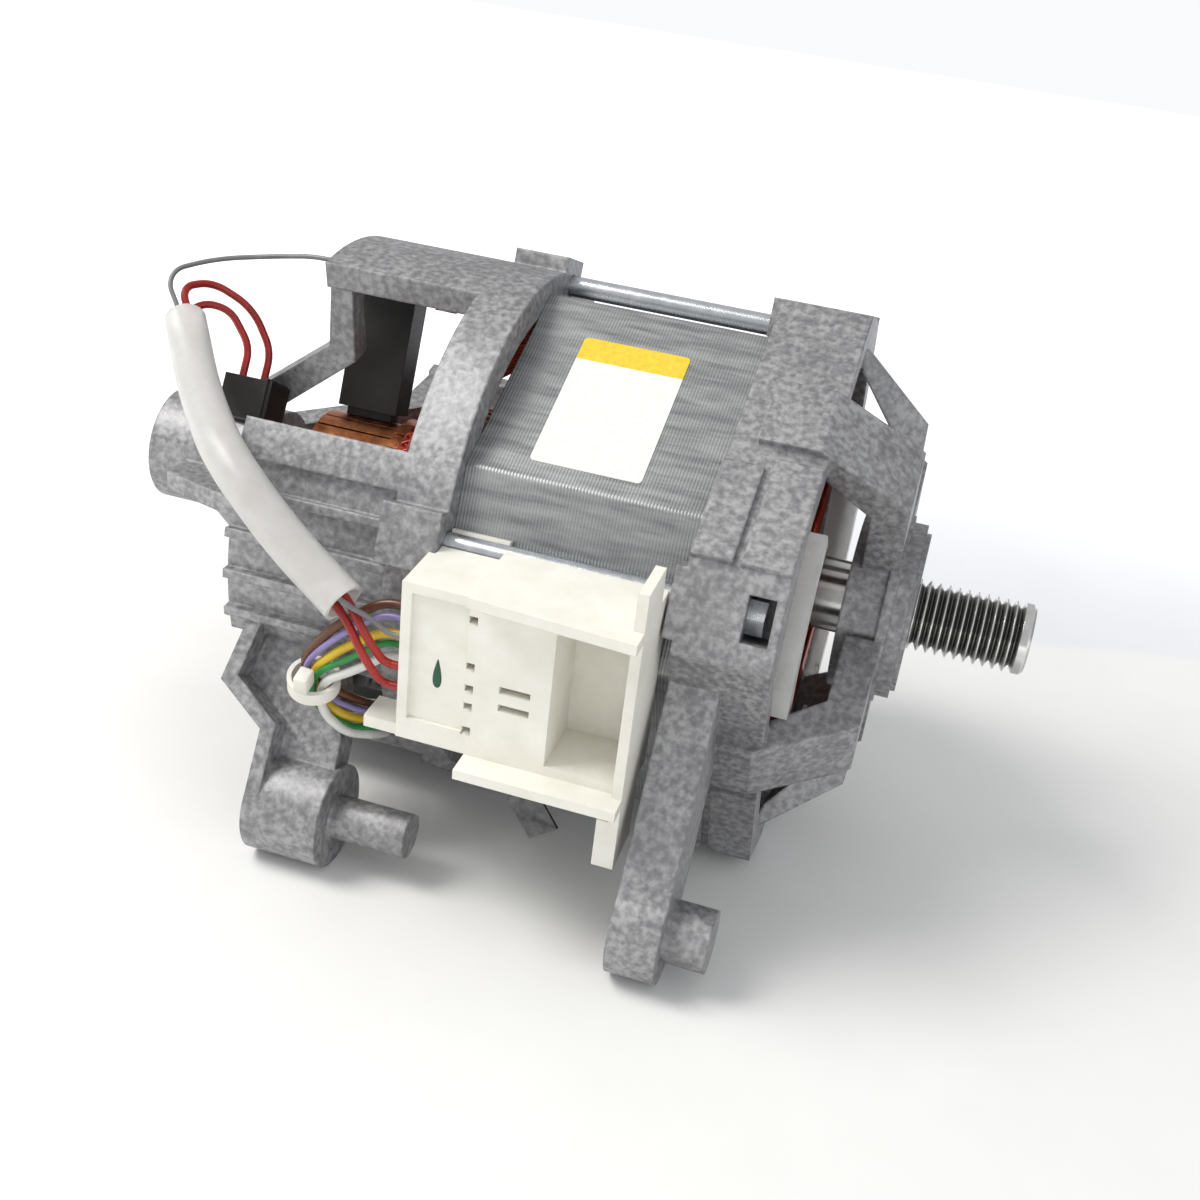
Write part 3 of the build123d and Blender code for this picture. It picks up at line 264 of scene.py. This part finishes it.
# Polished bearing steel: sharp, bright reflections
finish_nodes(bright_metal("polished_bearing_steel", "#DADADA", "#B8B8B9", (0.12, 0.25)),
             "front_bearing_outer_race", "front_bearing_inner_race", "front_bearing_balls",
             "front_bearing_shields", "rear_bearing_outer_race", "rear_bearing_inner_race",
             "rear_bearing_balls", "rear_bearing_shields", "wave_washer")
# Stamped brass that has tarnished: brown and dull
finish_nodes(bright_metal("tarnished_brass", "#7A6437", "#4A3C22", (0.35, 0.5)),
             "terminal_contacts")
# Nickel plate on the earth tab: dark and glossy
finish_nodes(bright_metal("dark_nickel", "#6F6F70", "#474749", (0.14, 0.26)), "earth_tab")
# Drawn spring wire: grey with a satin sheen
finish_nodes(bright_metal("spring_steel", "#CFCFCE", "#9C9C9B", (0.28, 0.45)),
             "brush_spring_upper", "brush_spring_lower")
# Turned copper: warm, with coarser rings that the lathe left
finish_nodes(bright_metal("turned_copper", "#D08A5C", "#9A5634", (0.28, 0.45), ring_mm=0.6,
                          depth_mm=0.05), "commutator_bars")

# %% [markdown]
# The shaft is ground steel with turned belt grooves. On the real one the ribs are bright and
# the groove floors dark, because little light reaches them. That shade is painted into the
# colour: the distance from the shaft's axis tells floor from rib, so that length drives a ramp
# that darkens the floors, and only in front of the hub, where the grooves are.

# %% Grooved shaft
GROOVE_FLOOR = 7.2
GROOVE_CREST = 8.9
HUB_FACE = 1.0


def groove_painted_shade(tree, place, plain):
    """The plain colour with painted shade, darkened towards the floors of the belt grooves."""
    split = add(tree, "ShaderNodeSeparateXYZ", {}, {"Vector": place})
    flat = add(tree, "ShaderNodeCombineXYZ", {}, {"Y": split.outputs["Y"],
                                                  "Z": split.outputs["Z"]})
    radius = add(tree, "ShaderNodeVectorMath", {}, {0: flat.outputs["Vector"]},
                 operation="LENGTH")
    depth = add(tree, "ShaderNodeMapRange", {"From Min": GROOVE_FLOOR * MM,
                                             "From Max": GROOVE_CREST * MM},
                {"Value": radius.outputs["Value"]})
    outside = add(tree, "ShaderNodeMath", {1: HUB_FACE * MM}, {0: split.outputs["X"]},
                  operation="GREATER_THAN")
    # Painted shade: dark grey at the groove floors, no change on the crests
    shade = add(tree, "ShaderNodeValToRGB", {}, {"Fac": depth.outputs["Result"]},
                stops=((0.0, "#7C7C7A"), (0.5, "#BDBDBA"), (0.9, "#FFFFFF")))
    painted_floors = add(tree, "ShaderNodeMix", {}, {"Factor": outside.outputs["Value"], "A": plain,
                                             "B": shade.outputs["Color"]},
                 data_type="RGBA", blend_type="MULTIPLY")
    return painted_floors.outputs["Result"]


# Ground steel, with painted shade in the floors of the belt grooves
finish_nodes(bright_metal("ground_steel", "#DFDFDD", "#CFCFCD", (0.16, 0.24), depth_mm=0.01,
                          painted_shade=groove_painted_shade), "shaft")

# %% [markdown]
# Mouldings and pressed parts come out of a tool with a fine grain that breaks up the
# highlight, and a colour that is never quite even. A fine noise gives the grain and the
# gloss, and a coarse one the colour. Nylon also lets a little light in, which softens it.

# %% Mouldings
def moulding(name, light, dark, rough, grain_mm=0.5, depth_mm=0.05, edge_mm=0.3, **sockets):
    """An even surface with fine grain and slow clouds of colour."""
    material, tree, shader, place = new_material(name, **sockets)
    grain = add(tree, "ShaderNodeTexNoise", {"Scale": scale_for(grain_mm), "Detail": 3.0,
                                             "Roughness": 0.6}, {"Vector": place}).outputs["Fac"]
    clouds = add(tree, "ShaderNodeTexNoise", {"Scale": scale_for(9.0), "Detail": 3.0,
                                              "Roughness": 0.6}, {"Vector": place})
    base = add(tree, "ShaderNodeValToRGB", {}, {"Fac": clouds.outputs["Fac"]},
               stops=((0.3, dark), (0.7, light)))
    dress(tree, shader, base.outputs["Color"], grain, rough, grain, depth_mm, 0.4, edge_mm)
    return material


# Nylon: warm white and half matt
nylon = moulding("moulded_nylon", "#F5F3EB", "#EAE7DC", (0.34, 0.5), Subsurface_Weight=0.06,
                 Subsurface_Scale=0.001)
finish_nodes(nylon, "terminal_block", "cable_tie")
# Phenolic resin: near black with a dull sheen
finish_nodes(moulding("black_phenolic_resin", "#24211F", "#161514", (0.35, 0.55)),
             "brush_holder_upper", "brush_holder_lower", "tacho_coil", "tacho_cap", "tacho_plug")
# Moulding resin under the copper bars: dark brown
finish_nodes(moulding("moulding_resin", "#4A3325", "#33231A", (0.35, 0.5)), "commutator_hub")
# Pressed carbon: dark grey and dusty
finish_nodes(moulding("pressed_carbon", "#3A3A3B", "#252526", (0.5, 0.7)),
             "carbon_brush_upper", "carbon_brush_lower")
# Sintered ferrite: slate grey, a little smoother
finish_nodes(moulding("sintered_ferrite", "#4A4A4C", "#343436", (0.4, 0.6)), "tacho_magnet")
# Pressed card: pale, matt and fibrous
finish_nodes(moulding("insulating_card", "#EFEADB", "#DCD5C2", (0.5, 0.7), grain_mm=0.3),
             "coil_insulator_front", "coil_insulator_rear")

# %% [markdown]
# The sleeve round the sensor's leads and the guard over the winding heads are milky plastic
# that lets colour through. Transmission with a high roughness scatters what is behind, and
# an almost white tint keeps them from looking like glass.

# %% Milky plastics
def milky(name, tint, transmission, rough):
    """A cloudy, half clear wall with soft folds."""
    material, tree, shader, place = new_material(name, Transmission_Weight=transmission,
                                                 IOR=1.45)
    folds = add(tree, "ShaderNodeTexNoise", {"Scale": scale_for(4.0), "Detail": 3.0,
                                             "Roughness": 0.6}, {"Vector": place}).outputs["Fac"]
    base = add(tree, "ShaderNodeValToRGB", {}, {"Fac": folds},
               stops=((0.3, tint), (0.7, "#FFFFFF")))
    dress(tree, shader, base.outputs["Color"], folds, rough, folds, 0.3, 0.4)
    return material


# Extruded vinyl tube: soft folds and a wet look
finish_nodes(milky("milky_vinyl_tube", "#F4F4EF", 0.6, (0.3, 0.45)), "cable_sleeve")
# Moulded polypropylene: the same milk in a thin wall
finish_nodes(milky("milky_polypropylene", "#F2F2EE", 0.5, (0.3, 0.45)), "winding_guard")

# %% [markdown]
# The leads are stranded wire in glossy vinyl. The extruder leaves a smooth skin with a faint
# waviness, so the moulding's pattern serves again, larger and softer, and only the colour
# differs from lead to lead.

# %% Lead insulation
def vinyl(name, light, dark):
    """A smooth glossy skin with a faint waviness."""
    return moulding(name, light, dark, (0.25, 0.4), grain_mm=2.5, depth_mm=0.1, edge_mm=0.0)


for name, light, dark, leads in (
        ("red_vinyl", "#B5291F", "#8E1C16", ("tacho_lead_upper", "tacho_lead_lower")),
        ("grey_vinyl", "#8A8A8B", "#6C6C6E", ("thin_lead",)),
        ("brown_vinyl", "#6B3F27", "#4F2D1B", ("brown_lead",)),
        ("yellow_vinyl", "#E6C32F", "#C9A51F", ("yellow_lead",)),
        ("white_vinyl", "#E9E9E6", "#D2D2CE", ("white_lead",))):
    finish_nodes(vinyl(name, light, dark), *leads)

# %% [markdown]
# The rating label is coated white paper with a yellow band along its upper edge. The band
# could be a second piece, but it is only ink, so it belongs in the material. It starts at a
# height up the label's flat, and a dot product with that direction finds it.

# %% Label paper
LABEL_ANGLE = 55.0
BAND_RISE = 9.5


def label_paper():
    """Smooth paper, white below the band's height and yellow above it."""
    material, tree, shader, place = new_material("coated_paper", Specular_IOR_Level=0.4)
    rise = add(tree, "ShaderNodeVectorMath", {1: direction(LABEL_ANGLE - 90)}, {0: place},
               operation="DOT_PRODUCT")
    above = add(tree, "ShaderNodeMath", {1: BAND_RISE * MM}, {0: rise.outputs["Value"]},
                operation="GREATER_THAN")
    fibres = add(tree, "ShaderNodeTexNoise", {"Scale": scale_for(1.2), "Detail": 3.0,
                                              "Roughness": 0.6}, {"Vector": place}).outputs["Fac"]
    paper = add(tree, "ShaderNodeValToRGB", {}, {"Fac": fibres},
                stops=((0.3, "#E7E6E1"), (0.7, "#F4F3EF")))
    yellow = add(tree, "ShaderNodeValToRGB", {}, {"Fac": fibres},
                 stops=((0.3, "#E3C22C"), (0.7, "#F0D348")))
    base = add(tree, "ShaderNodeMix", {}, {"Factor": above.outputs["Value"],
                                           "A": paper.outputs["Color"],
                                           "B": yellow.outputs["Color"]}, data_type="RGBA")
    dress(tree, shader, base.outputs["Result"], fibres, (0.35, 0.5), fibres, 0.03, 0.3)
    return material


finish_nodes(label_paper(), "rating_label")

# %% [markdown]
# The windings are copper wire under a red-brown lacquer. The varnish pools between the
# turns, so its colour runs from deep red to orange, and a clear coat on a half metallic base
# gives the wet gleam.

# %% Lacquered copper
def lacquered_copper():
    """Red-brown metal under a glossy coat."""
    material, tree, shader, place = new_material("lacquered_copper", Metallic=0.6,
                                                 Coat_Weight=0.6, Coat_Roughness=0.12)
    varnish = add(tree, "ShaderNodeTexNoise", {"Scale": scale_for(5.0), "Detail": 3.0,
                                               "Roughness": 0.6}, {"Vector": place}).outputs["Fac"]
    fine = add(tree, "ShaderNodeTexNoise", {"Scale": scale_for(0.8), "Detail": 3.0,
                                            "Roughness": 0.6}, {"Vector": place})
    base = add(tree, "ShaderNodeValToRGB", {}, {"Fac": varnish},
               stops=((0.3, "#7E1F12"), (0.55, "#A5331D"), (0.8, "#C2542F")))
    dress(tree, shader, base.outputs["Color"], varnish, (0.25, 0.42), fine.outputs["Fac"],
          0.05, 0.4)
    return material


copper = lacquered_copper()
finish_nodes(copper, "armature_winding", "field_coil_upper", "field_coil_lower")

# %% [markdown]
# Wires are curves with a round bevel, turned into one mesh per bundle. A curve needs only
# the points along its middle, and Blender makes the tube, which is far simpler than joining
# rings of vertices.

# %% Bundles of wire
# A tube gets four sides and two more for each step of rounding
BUNDLE_ROUNDING = 1
LONE_ROUNDING = 3


def make_piece(name, mesh, material, body):
    """A smooth piece with its material, riding on a body."""
    mesh.materials.append(material)
    for face in mesh.polygons:
        face.use_smooth = True
    piece = bpy.data.objects.new(name, mesh)
    bpy.context.scene.collection.objects.link(piece)
    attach(piece, body)
    print(name, "faces", len(mesh.polygons))
    return piece


def wire_bundle(name, loops, wire_mm, material, body, closed=True):
    """One mesh of round wires along lines of points, closed into loops or not."""
    curve = bpy.data.curves.new(name, "CURVE")
    curve.dimensions = "3D"
    curve.bevel_depth = wire_mm / 2 * MM
    curve.bevel_resolution = BUNDLE_ROUNDING if len(loops) > 1 else LONE_ROUNDING
    for points in loops:
        spline = curve.splines.new("POLY")
        spline.points.add(len(points) - 1)
        for point, place in zip(spline.points, points):
            point.co = (*place, 1)
        spline.use_cyclic_u = closed
    shaped = bpy.data.objects.new(name + "_curve", curve)
    mesh = bpy.data.meshes.new_from_object(shaped)
    bpy.data.objects.remove(shaped)
    mesh.name = name
    mesh.materials.clear()
    return make_piece(name, mesh, material, body)


print("sides of a wire's tube:", 4 + 2 * BUNDLE_ROUNDING, "in a bundle,",
      4 + 2 * LONE_ROUNDING, "alone")

# %% [markdown]
# Seen close, a field coil is not a block but many turns laid side by side. Its outer layer
# is built as real turns: one loop per wire round the racetrack, stepped along the edge of
# the coil's section. The wire is drawn a little thicker than the real 0.7 mm, so that the
# turns show from a step away.

# %% One turn of a field coil
STACK_MIDDLE = 74.5
COIL_LENGTH = 99.0
COIL_INNER_HALF = 26.0
COIL_WIDTH = 9.4
COIL_BOTTOM = 30.8
COIL_HEIGHT = 8.8
COIL_CORNER = 12.6
WIRE = 0.95
CORNER_STEPS = 6


def racetrack(inset, rise, angle):
    """Points of one turn: inset from the coil's outer side, rise above its bottom."""
    half_long = COIL_LENGTH / 2 - inset
    half_wide = COIL_INNER_HALF + COIL_WIDTH - inset
    corner = COIL_CORNER + COIL_WIDTH - inset
    away = direction(angle)
    side = direction(angle - 90)
    points = []
    for quadrant, (x_sign, y_sign) in enumerate(((1, 1), (-1, 1), (-1, -1), (1, -1))):
        for step in range(CORNER_STEPS + 1):
            turn = (quadrant + step / CORNER_STEPS) * pi / 2
            along = x_sign * (half_long - corner) + corner * cos(turn)
            wide = y_sign * (half_wide - corner) + corner * sin(turn)
            points.append(Vector((along - STACK_MIDDLE, 0, 0)) * MM
                          + away * (COIL_BOTTOM + rise) * MM + side * wide * MM)
    return points


print("points in one turn:", len(racetrack(0, 0, LABEL_ANGLE)))


# %% Field coil turns
def coil_section():
    """Places of the outer layer of wires round the coil's section: inset and rise."""
    half = WIRE / 2
    across_count = int((COIL_WIDTH - WIRE) / WIRE)
    up_count = int((COIL_HEIGHT - WIRE) / WIRE)
    places = []
    for step in range(across_count + 1):
        inset = half + step * (COIL_WIDTH - WIRE) / across_count
        places += [(inset, half), (inset, COIL_HEIGHT - half)]
    for step in range(1, up_count):
        rise = half + step * (COIL_HEIGHT - WIRE) / up_count
        places += [(half, rise), (COIL_WIDTH - half, rise)]
    return places


for node, angle in (("field_coil_upper", LABEL_ANGLE), ("field_coil_lower", LABEL_ANGLE + 180)):
    turns = wire_bundle(node + "_turns", [racetrack(inset, rise, angle)
                                          for inset, rise in coil_section()],
                        WIRE, copper, "motor_body")
    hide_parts(node)

# %% [markdown]
# The armature's winding is laid by a flyer from slot to slot, so on each head the wires run
# slanted, and every layer crosses the one below. The solid under them is the whole bundle.
# Winding every turn would take thousands of wires, so one slanted set and its mirror image
# lie on the head, and they turn with the rotor.

# %% Armature head wires
HEAD_WIRES = 40
# Distance behind the hub, distance from the axis, and degrees round, along one wire
REAR_HEAD = ((102.6, 26.3, 0), (110.0, 26.7, 12), (118.0, 26.7, 24), (122.5, 26.2, 31),
             (125.2, 24.0, 37), (126.4, 22.3, 41), (130.5, 21.4, 49), (134.3, 20.6, 55))
FRONT_HEAD = ((46.4, 26.3, 0), (41.0, 26.7, 9), (37.4, 26.2, 16), (34.6, 23.6, 24),
              (33.8, 20.5, 33), (33.7, 16.5, 46), (33.9, 12.6, 60))


def head_wires(profile):
    """Two crossing sets of wires over one head of the armature."""
    loops = []
    for number in range(HEAD_WIRES):
        start = 360 * number / HEAD_WIRES
        loops.append([polar(back, radius, start + turn) for back, radius, turn in profile])
        loops.append([polar(back, radius - WIRE / 3, start - turn)
                      for back, radius, turn in profile])
    return loops


for name, profile in (("armature_wires_rear", REAR_HEAD), ("armature_wires_front", FRONT_HEAD)):
    wire_bundle(name, head_wires(profile), WIRE, copper, "rotor",
                closed=False)

# %% [markdown]
# The harness by the rear leg has more leads than the three that the solids carry. Two thinner
# ones, green and violet, run between them. Each route is halfway between two solid leads, and
# a smooth curve is drawn through its points, as a lead has no corners.

# %% Leads between the others
LEAD_THICKNESS = 1.6
GREEN_ROUTE = ((103.0, 63.4, -35.6), (109.5, 63.4, -35.6), (118.0, 61.4, -41.3),
               (126.1, 56.9, -46.9), (127.2, 50.7, -53.6), (121.4, 45.7, -57.4),
               (117.4, 39.0, -57.6), (117.1, 28.2, -57.6), (120.5, 18.5, -58.2),
               (123.1, 10.0, -56.7), (123.1, 1.5, -55.1))
VIOLET_ROUTE = ((103.0, 66.0, -29.8), (110.5, 66.0, -29.8), (120.2, 63.8, -36.5),
                (128.3, 58.0, -44.2), (129.3, 50.6, -50.2), (123.4, 46.4, -52.9),
                (118.6, 39.6, -54.0), (118.6, 28.3, -54.2), (123.8, 18.3, -56.4),
                (126.6, 10.0, -56.5), (126.6, 1.5, -55.1))


def smooth(points, steps=6):
    """Points on a smooth curve through the given ones."""
    ends = [points[0] * 2 - points[1], *points, points[-1] * 2 - points[-2]]
    curve = []
    for before, start, end, after in zip(ends, ends[1:], ends[2:], ends[3:]):
        for step in range(steps):
            t = step / steps
            curve.append(0.5 * (2 * start + (end - before) * t
                                + (2 * before - 5 * start + 4 * end - after) * t ** 2
                                + (3 * start - before - 3 * end + after) * t ** 3))
    return curve + [points[-1]]


for name, route, light, dark in (("green_lead", GREEN_ROUTE, "#2F9A4A", "#1F7436"),
                                 ("violet_lead", VIOLET_ROUTE, "#9B8FC4", "#7C6FA8")):
    wire_bundle(name, [smooth([spot(*place) for place in route])], LEAD_THICKNESS,
                vinyl(name.replace("lead", "vinyl"), light, dark), "motor_body",
                closed=False)

# %% [markdown]
# Two small things that the eye finds. Shapes like these are drawn at the origin in
# millimetres, where they are easy to think about, and then turned to two directions of the
# motor and set in their place.

# %% Put a small shape in its place
def put(name, shape, centre, along, up, material):
    """Make a piece from a shape in millimetres, turned to two directions of the motor."""
    along = along.normalized()
    across = up.cross(along).normalized()
    turned = Matrix((along, across, along.cross(across))).transposed().to_4x4()
    bmesh.ops.transform(shape, verts=shape.verts,
                        matrix=Matrix.Translation(centre) @ turned @ Matrix.Scale(MM, 4))
    mesh = bpy.data.meshes.new(name)
    shape.to_mesh(mesh)
    shape.free()
    return make_piece(name, mesh, material, "motor_body")


ALONG_SHAFT = Vector((1, 0, 0))
print("small shapes are scaled by", MM)

# %% [markdown]
# A drop of green paint sits on the block, left by whoever checked it. Wet paint sags before
# it dries, so it is narrow above and wide below. A flattened ball, narrowed towards its top,
# gives that outline and its thin edge.

# %% Paint drop
BLOCK_ANGLE = 120.0
PANEL_FRONT = 79.0
PAINT_BACK = 94.6
PAINT_RISE = 0.8
PAINT_WIDTH = 3.0
PAINT_HEIGHT = 7.4
PAINT_DEPTH = 0.36
PAINT_MIDDLE_SHARE = 0.62
PAINT_NARROWING = 0.76

drop = bmesh.new()
bmesh.ops.create_icosphere(drop, subdivisions=3, radius=0.5)
for vertex in drop.verts:
    width = PAINT_WIDTH * (PAINT_MIDDLE_SHARE - PAINT_NARROWING * vertex.co.y)
    vertex.co = (vertex.co.x * width, vertex.co.y * PAINT_HEIGHT, vertex.co.z * PAINT_DEPTH)
# Enamel paint: deep green with a soft gloss
green_paint = moulding("green_paint", "#1F6043", "#164A33", (0.3, 0.45), grain_mm=0.8)
block_out = direction(BLOCK_ANGLE)
paint_place = (block_out * PANEL_FRONT + direction(BLOCK_ANGLE - 90) * PAINT_RISE
               - ALONG_SHAFT * PAINT_BACK) * MM
put("paint_dab", drop, paint_place, ALONG_SHAFT, block_out, green_paint)

# %% [markdown]
# The cable tie's band is a solid of its own. Its head is a small moulded box with rounded
# edges that the tail passes through, so a cube with bevelled edges is enough.

# %% Cable tie head
TIE_SIZE = (4.6, 4.4, 3.4)
TIE_BEVEL = 0.5
TIE_PLACE = spot(127.6, 59.9, -48.6)
TIE_ALONG = spot(128.2, 50.5, -52.0) - spot(127.3, 57.0, -45.6)

head = bmesh.new()
bmesh.ops.create_cube(head, size=1.0)
bmesh.ops.scale(head, verts=head.verts, vec=TIE_SIZE)
bmesh.ops.bevel(head, geom=head.edges[:], offset=TIE_BEVEL, segments=2, profile=0.5,
                affect="EDGES", material=-1)
put("cable_tie_head", head, TIE_PLACE, TIE_ALONG, ALONG_SHAFT, nylon)

# %% [markdown]
# The floor is a wide pale sheet under the feet. It is stage, not part of the motor, and it
# keeps the shadow. Behind the motor the photograph turns to a wall a little cooler in tone.
# A real wall would hide the motor from behind, so the sheet takes that tone past the same
# line. Far off, it shows its own tone to the camera whatever light reaches it.

# %% Floor material
WALL_ACROSS = Vector((-0.332, 0.943, 0))
WALL_LINE = 138.5
WALL_SOFTNESS = 3.0
FADE_START = 0.16
FADE_END = 0.5
FADE_GLOW = 0.6


def floor_material():
    """Pale table, a cooler tone beyond a line, and a steady tone far away."""
    material, tree, shader, place = new_material("pale_table", Roughness=0.6)
    clouds = add(tree, "ShaderNodeTexNoise", {"Scale": scale_for(60.0), "Detail": 3.0,
                                              "Roughness": 0.6}, {"Vector": place}).outputs["Fac"]
    table = add(tree, "ShaderNodeValToRGB", {}, {"Fac": clouds},
                stops=((0.3, "#F3F3F2"), (0.7, "#F8F8F7")))
    wall = add(tree, "ShaderNodeValToRGB", {}, {"Fac": clouds},
               stops=((0.3, "#EDEEF3"), (0.7, "#F1F2F6")))
    beyond = add(tree, "ShaderNodeVectorMath", {1: WALL_ACROSS}, {0: place},
                 operation="DOT_PRODUCT")
    edge = add(tree, "ShaderNodeMapRange", {"From Min": (WALL_LINE - WALL_SOFTNESS) * MM,
                                            "From Max": (WALL_LINE + WALL_SOFTNESS) * MM},
               {"Value": beyond.outputs["Value"]})
    tone = add(tree, "ShaderNodeMix", {}, {"Factor": edge.outputs["Result"],
                                           "A": table.outputs["Color"],
                                           "B": wall.outputs["Color"]}, data_type="RGBA")
    distance = add(tree, "ShaderNodeVectorMath", {}, {0: place}, operation="LENGTH")
    far = add(tree, "ShaderNodeMapRange", {"From Min": FADE_START, "From Max": FADE_END,
                                           "To Max": FADE_GLOW},
              {"Value": distance.outputs["Value"]}, interpolation_type="SMOOTHSTEP")
    paths = add(tree, "ShaderNodeLightPath")
    seen = add(tree, "ShaderNodeMath", {}, {0: paths.outputs["Is Camera Ray"],
                                            1: paths.outputs["Is Glossy Ray"]},
               operation="MAXIMUM")
    glow = add(tree, "ShaderNodeMath", {}, {0: far.outputs["Result"],
                                            1: seen.outputs["Value"]}, operation="MULTIPLY")
    tree.links.new(tone.outputs["Result"], shader.inputs["Base Color"])
    tree.links.new(tone.outputs["Result"], shader.inputs["Emission Color"])
    tree.links.new(glow.outputs["Value"], shader.inputs["Emission Strength"])
    return material


print("the tone changes", WALL_LINE, "mm from the hub, square to a line on the floor")

# %% Floor sheet
FLOOR_SIZE = 6.0
low, high = cad_box

sheet = bmesh.new()
bmesh.ops.create_grid(sheet, x_segments=1, y_segments=1, size=FLOOR_SIZE / 2)
bmesh.ops.translate(sheet, verts=sheet.verts, vec=(0, 0, low[2]))
floor_mesh = bpy.data.meshes.new("floor")
sheet.to_mesh(floor_mesh)
sheet.free()
floor_mesh.materials.append(floor_material())
floor = bpy.data.objects.new("floor", floor_mesh)
bpy.context.scene.collection.objects.link(floor)
print("floor at", round(low[2] / MM, 2), "mm")

# %% [markdown]
# The room is a pale grey world that fills the shade softly. A camera or a clear wall that
# looks past the floor sees plain white instead, so the background stays white without more
# light on the motor.

# %% World
ROOM_LIGHT = 0.62
world = bpy.data.worlds.new("soft_room")
world.use_nodes = True
bpy.context.scene.world = world
room = world.node_tree
background = room.nodes["Background"]
background.inputs["Color"].default_value = colour("#FAFBFC")
paths = add(room, "ShaderNodeLightPath")
seen = add(room, "ShaderNodeMath", {}, {0: paths.outputs["Is Camera Ray"],
                                        1: paths.outputs["Is Transmission Ray"]},
           operation="MAXIMUM")
strength = add(room, "ShaderNodeMapRange", {"To Min": ROOM_LIGHT, "To Max": 1.0},
               {"Value": seen.outputs["Value"]})
room.links.new(strength.outputs["Result"], background.inputs["Strength"])
print("room light", ROOM_LIGHT)

# %% [markdown]
# The photograph is lit from the upper left by a large soft source, with the shadow falling
# to the right. A sun would cut hard shadows, so a big area lamp gives the light, and a
# weaker one from the right opens the shade.

# %% Lamps
# Place in metres, width in metres, watts and tint
LAMPS = {"key": ((-0.75, -0.35, 0.95), 0.55, 10.5, "#FFFDF8"),
         "fill": ((0.8, -0.8, 0.5), 0.9, 2.0, "#F6F9FF")}
middle = (Vector(low) + Vector(high)) / 2

for name, (place, width, watts, tint) in LAMPS.items():
    light = bpy.data.lights.new(name, "AREA")
    light.size = width
    light.energy = watts
    light.color = colour(tint)[:3]
    lamp = bpy.data.objects.new(name, light)
    bpy.context.scene.collection.objects.link(lamp)
    lamp.location = place
    lamp.rotation_euler = (Vector(place) - middle).to_track_quat("Z", "Y").to_euler()
    print(name, "lamp is", round((Vector(place) - middle).length, 2), "m away")

# %% [markdown]
# The camera stands where the photographer stood: a third of a metre away, a little above,
# and slightly tilted. Guessing such a view takes many tries, so its place and aim were
# worked out from the shaft, the bolts and the feet.

# %% Camera
CAMERA_PLACE = Vector((1.6, -350.6, 146.8)) * MM
CAMERA_BACK = Vector((0.205, -0.8873, 0.4137))
CAMERA_ROLL = radians(8.14)
LENS = 45.0
SENSOR = 36.0
NEAREST = 0.01
lens = bpy.data.cameras.new("camera")
lens.lens = LENS
lens.sensor_width = SENSOR
lens.clip_start = NEAREST
camera = bpy.data.objects.new("camera", lens)
bpy.context.scene.collection.objects.link(camera)
aim = CAMERA_BACK.to_track_quat("Z", "Y").to_matrix() @ Matrix.Rotation(CAMERA_ROLL, 3, "Z")
camera.matrix_world = Matrix.Translation(CAMERA_PLACE) @ aim.to_4x4()
bpy.context.scene.camera = camera
bpy.context.scene.view_settings.view_transform = "Standard"
print("camera is", round((CAMERA_PLACE - middle).length, 3), "m from the motor's middle")
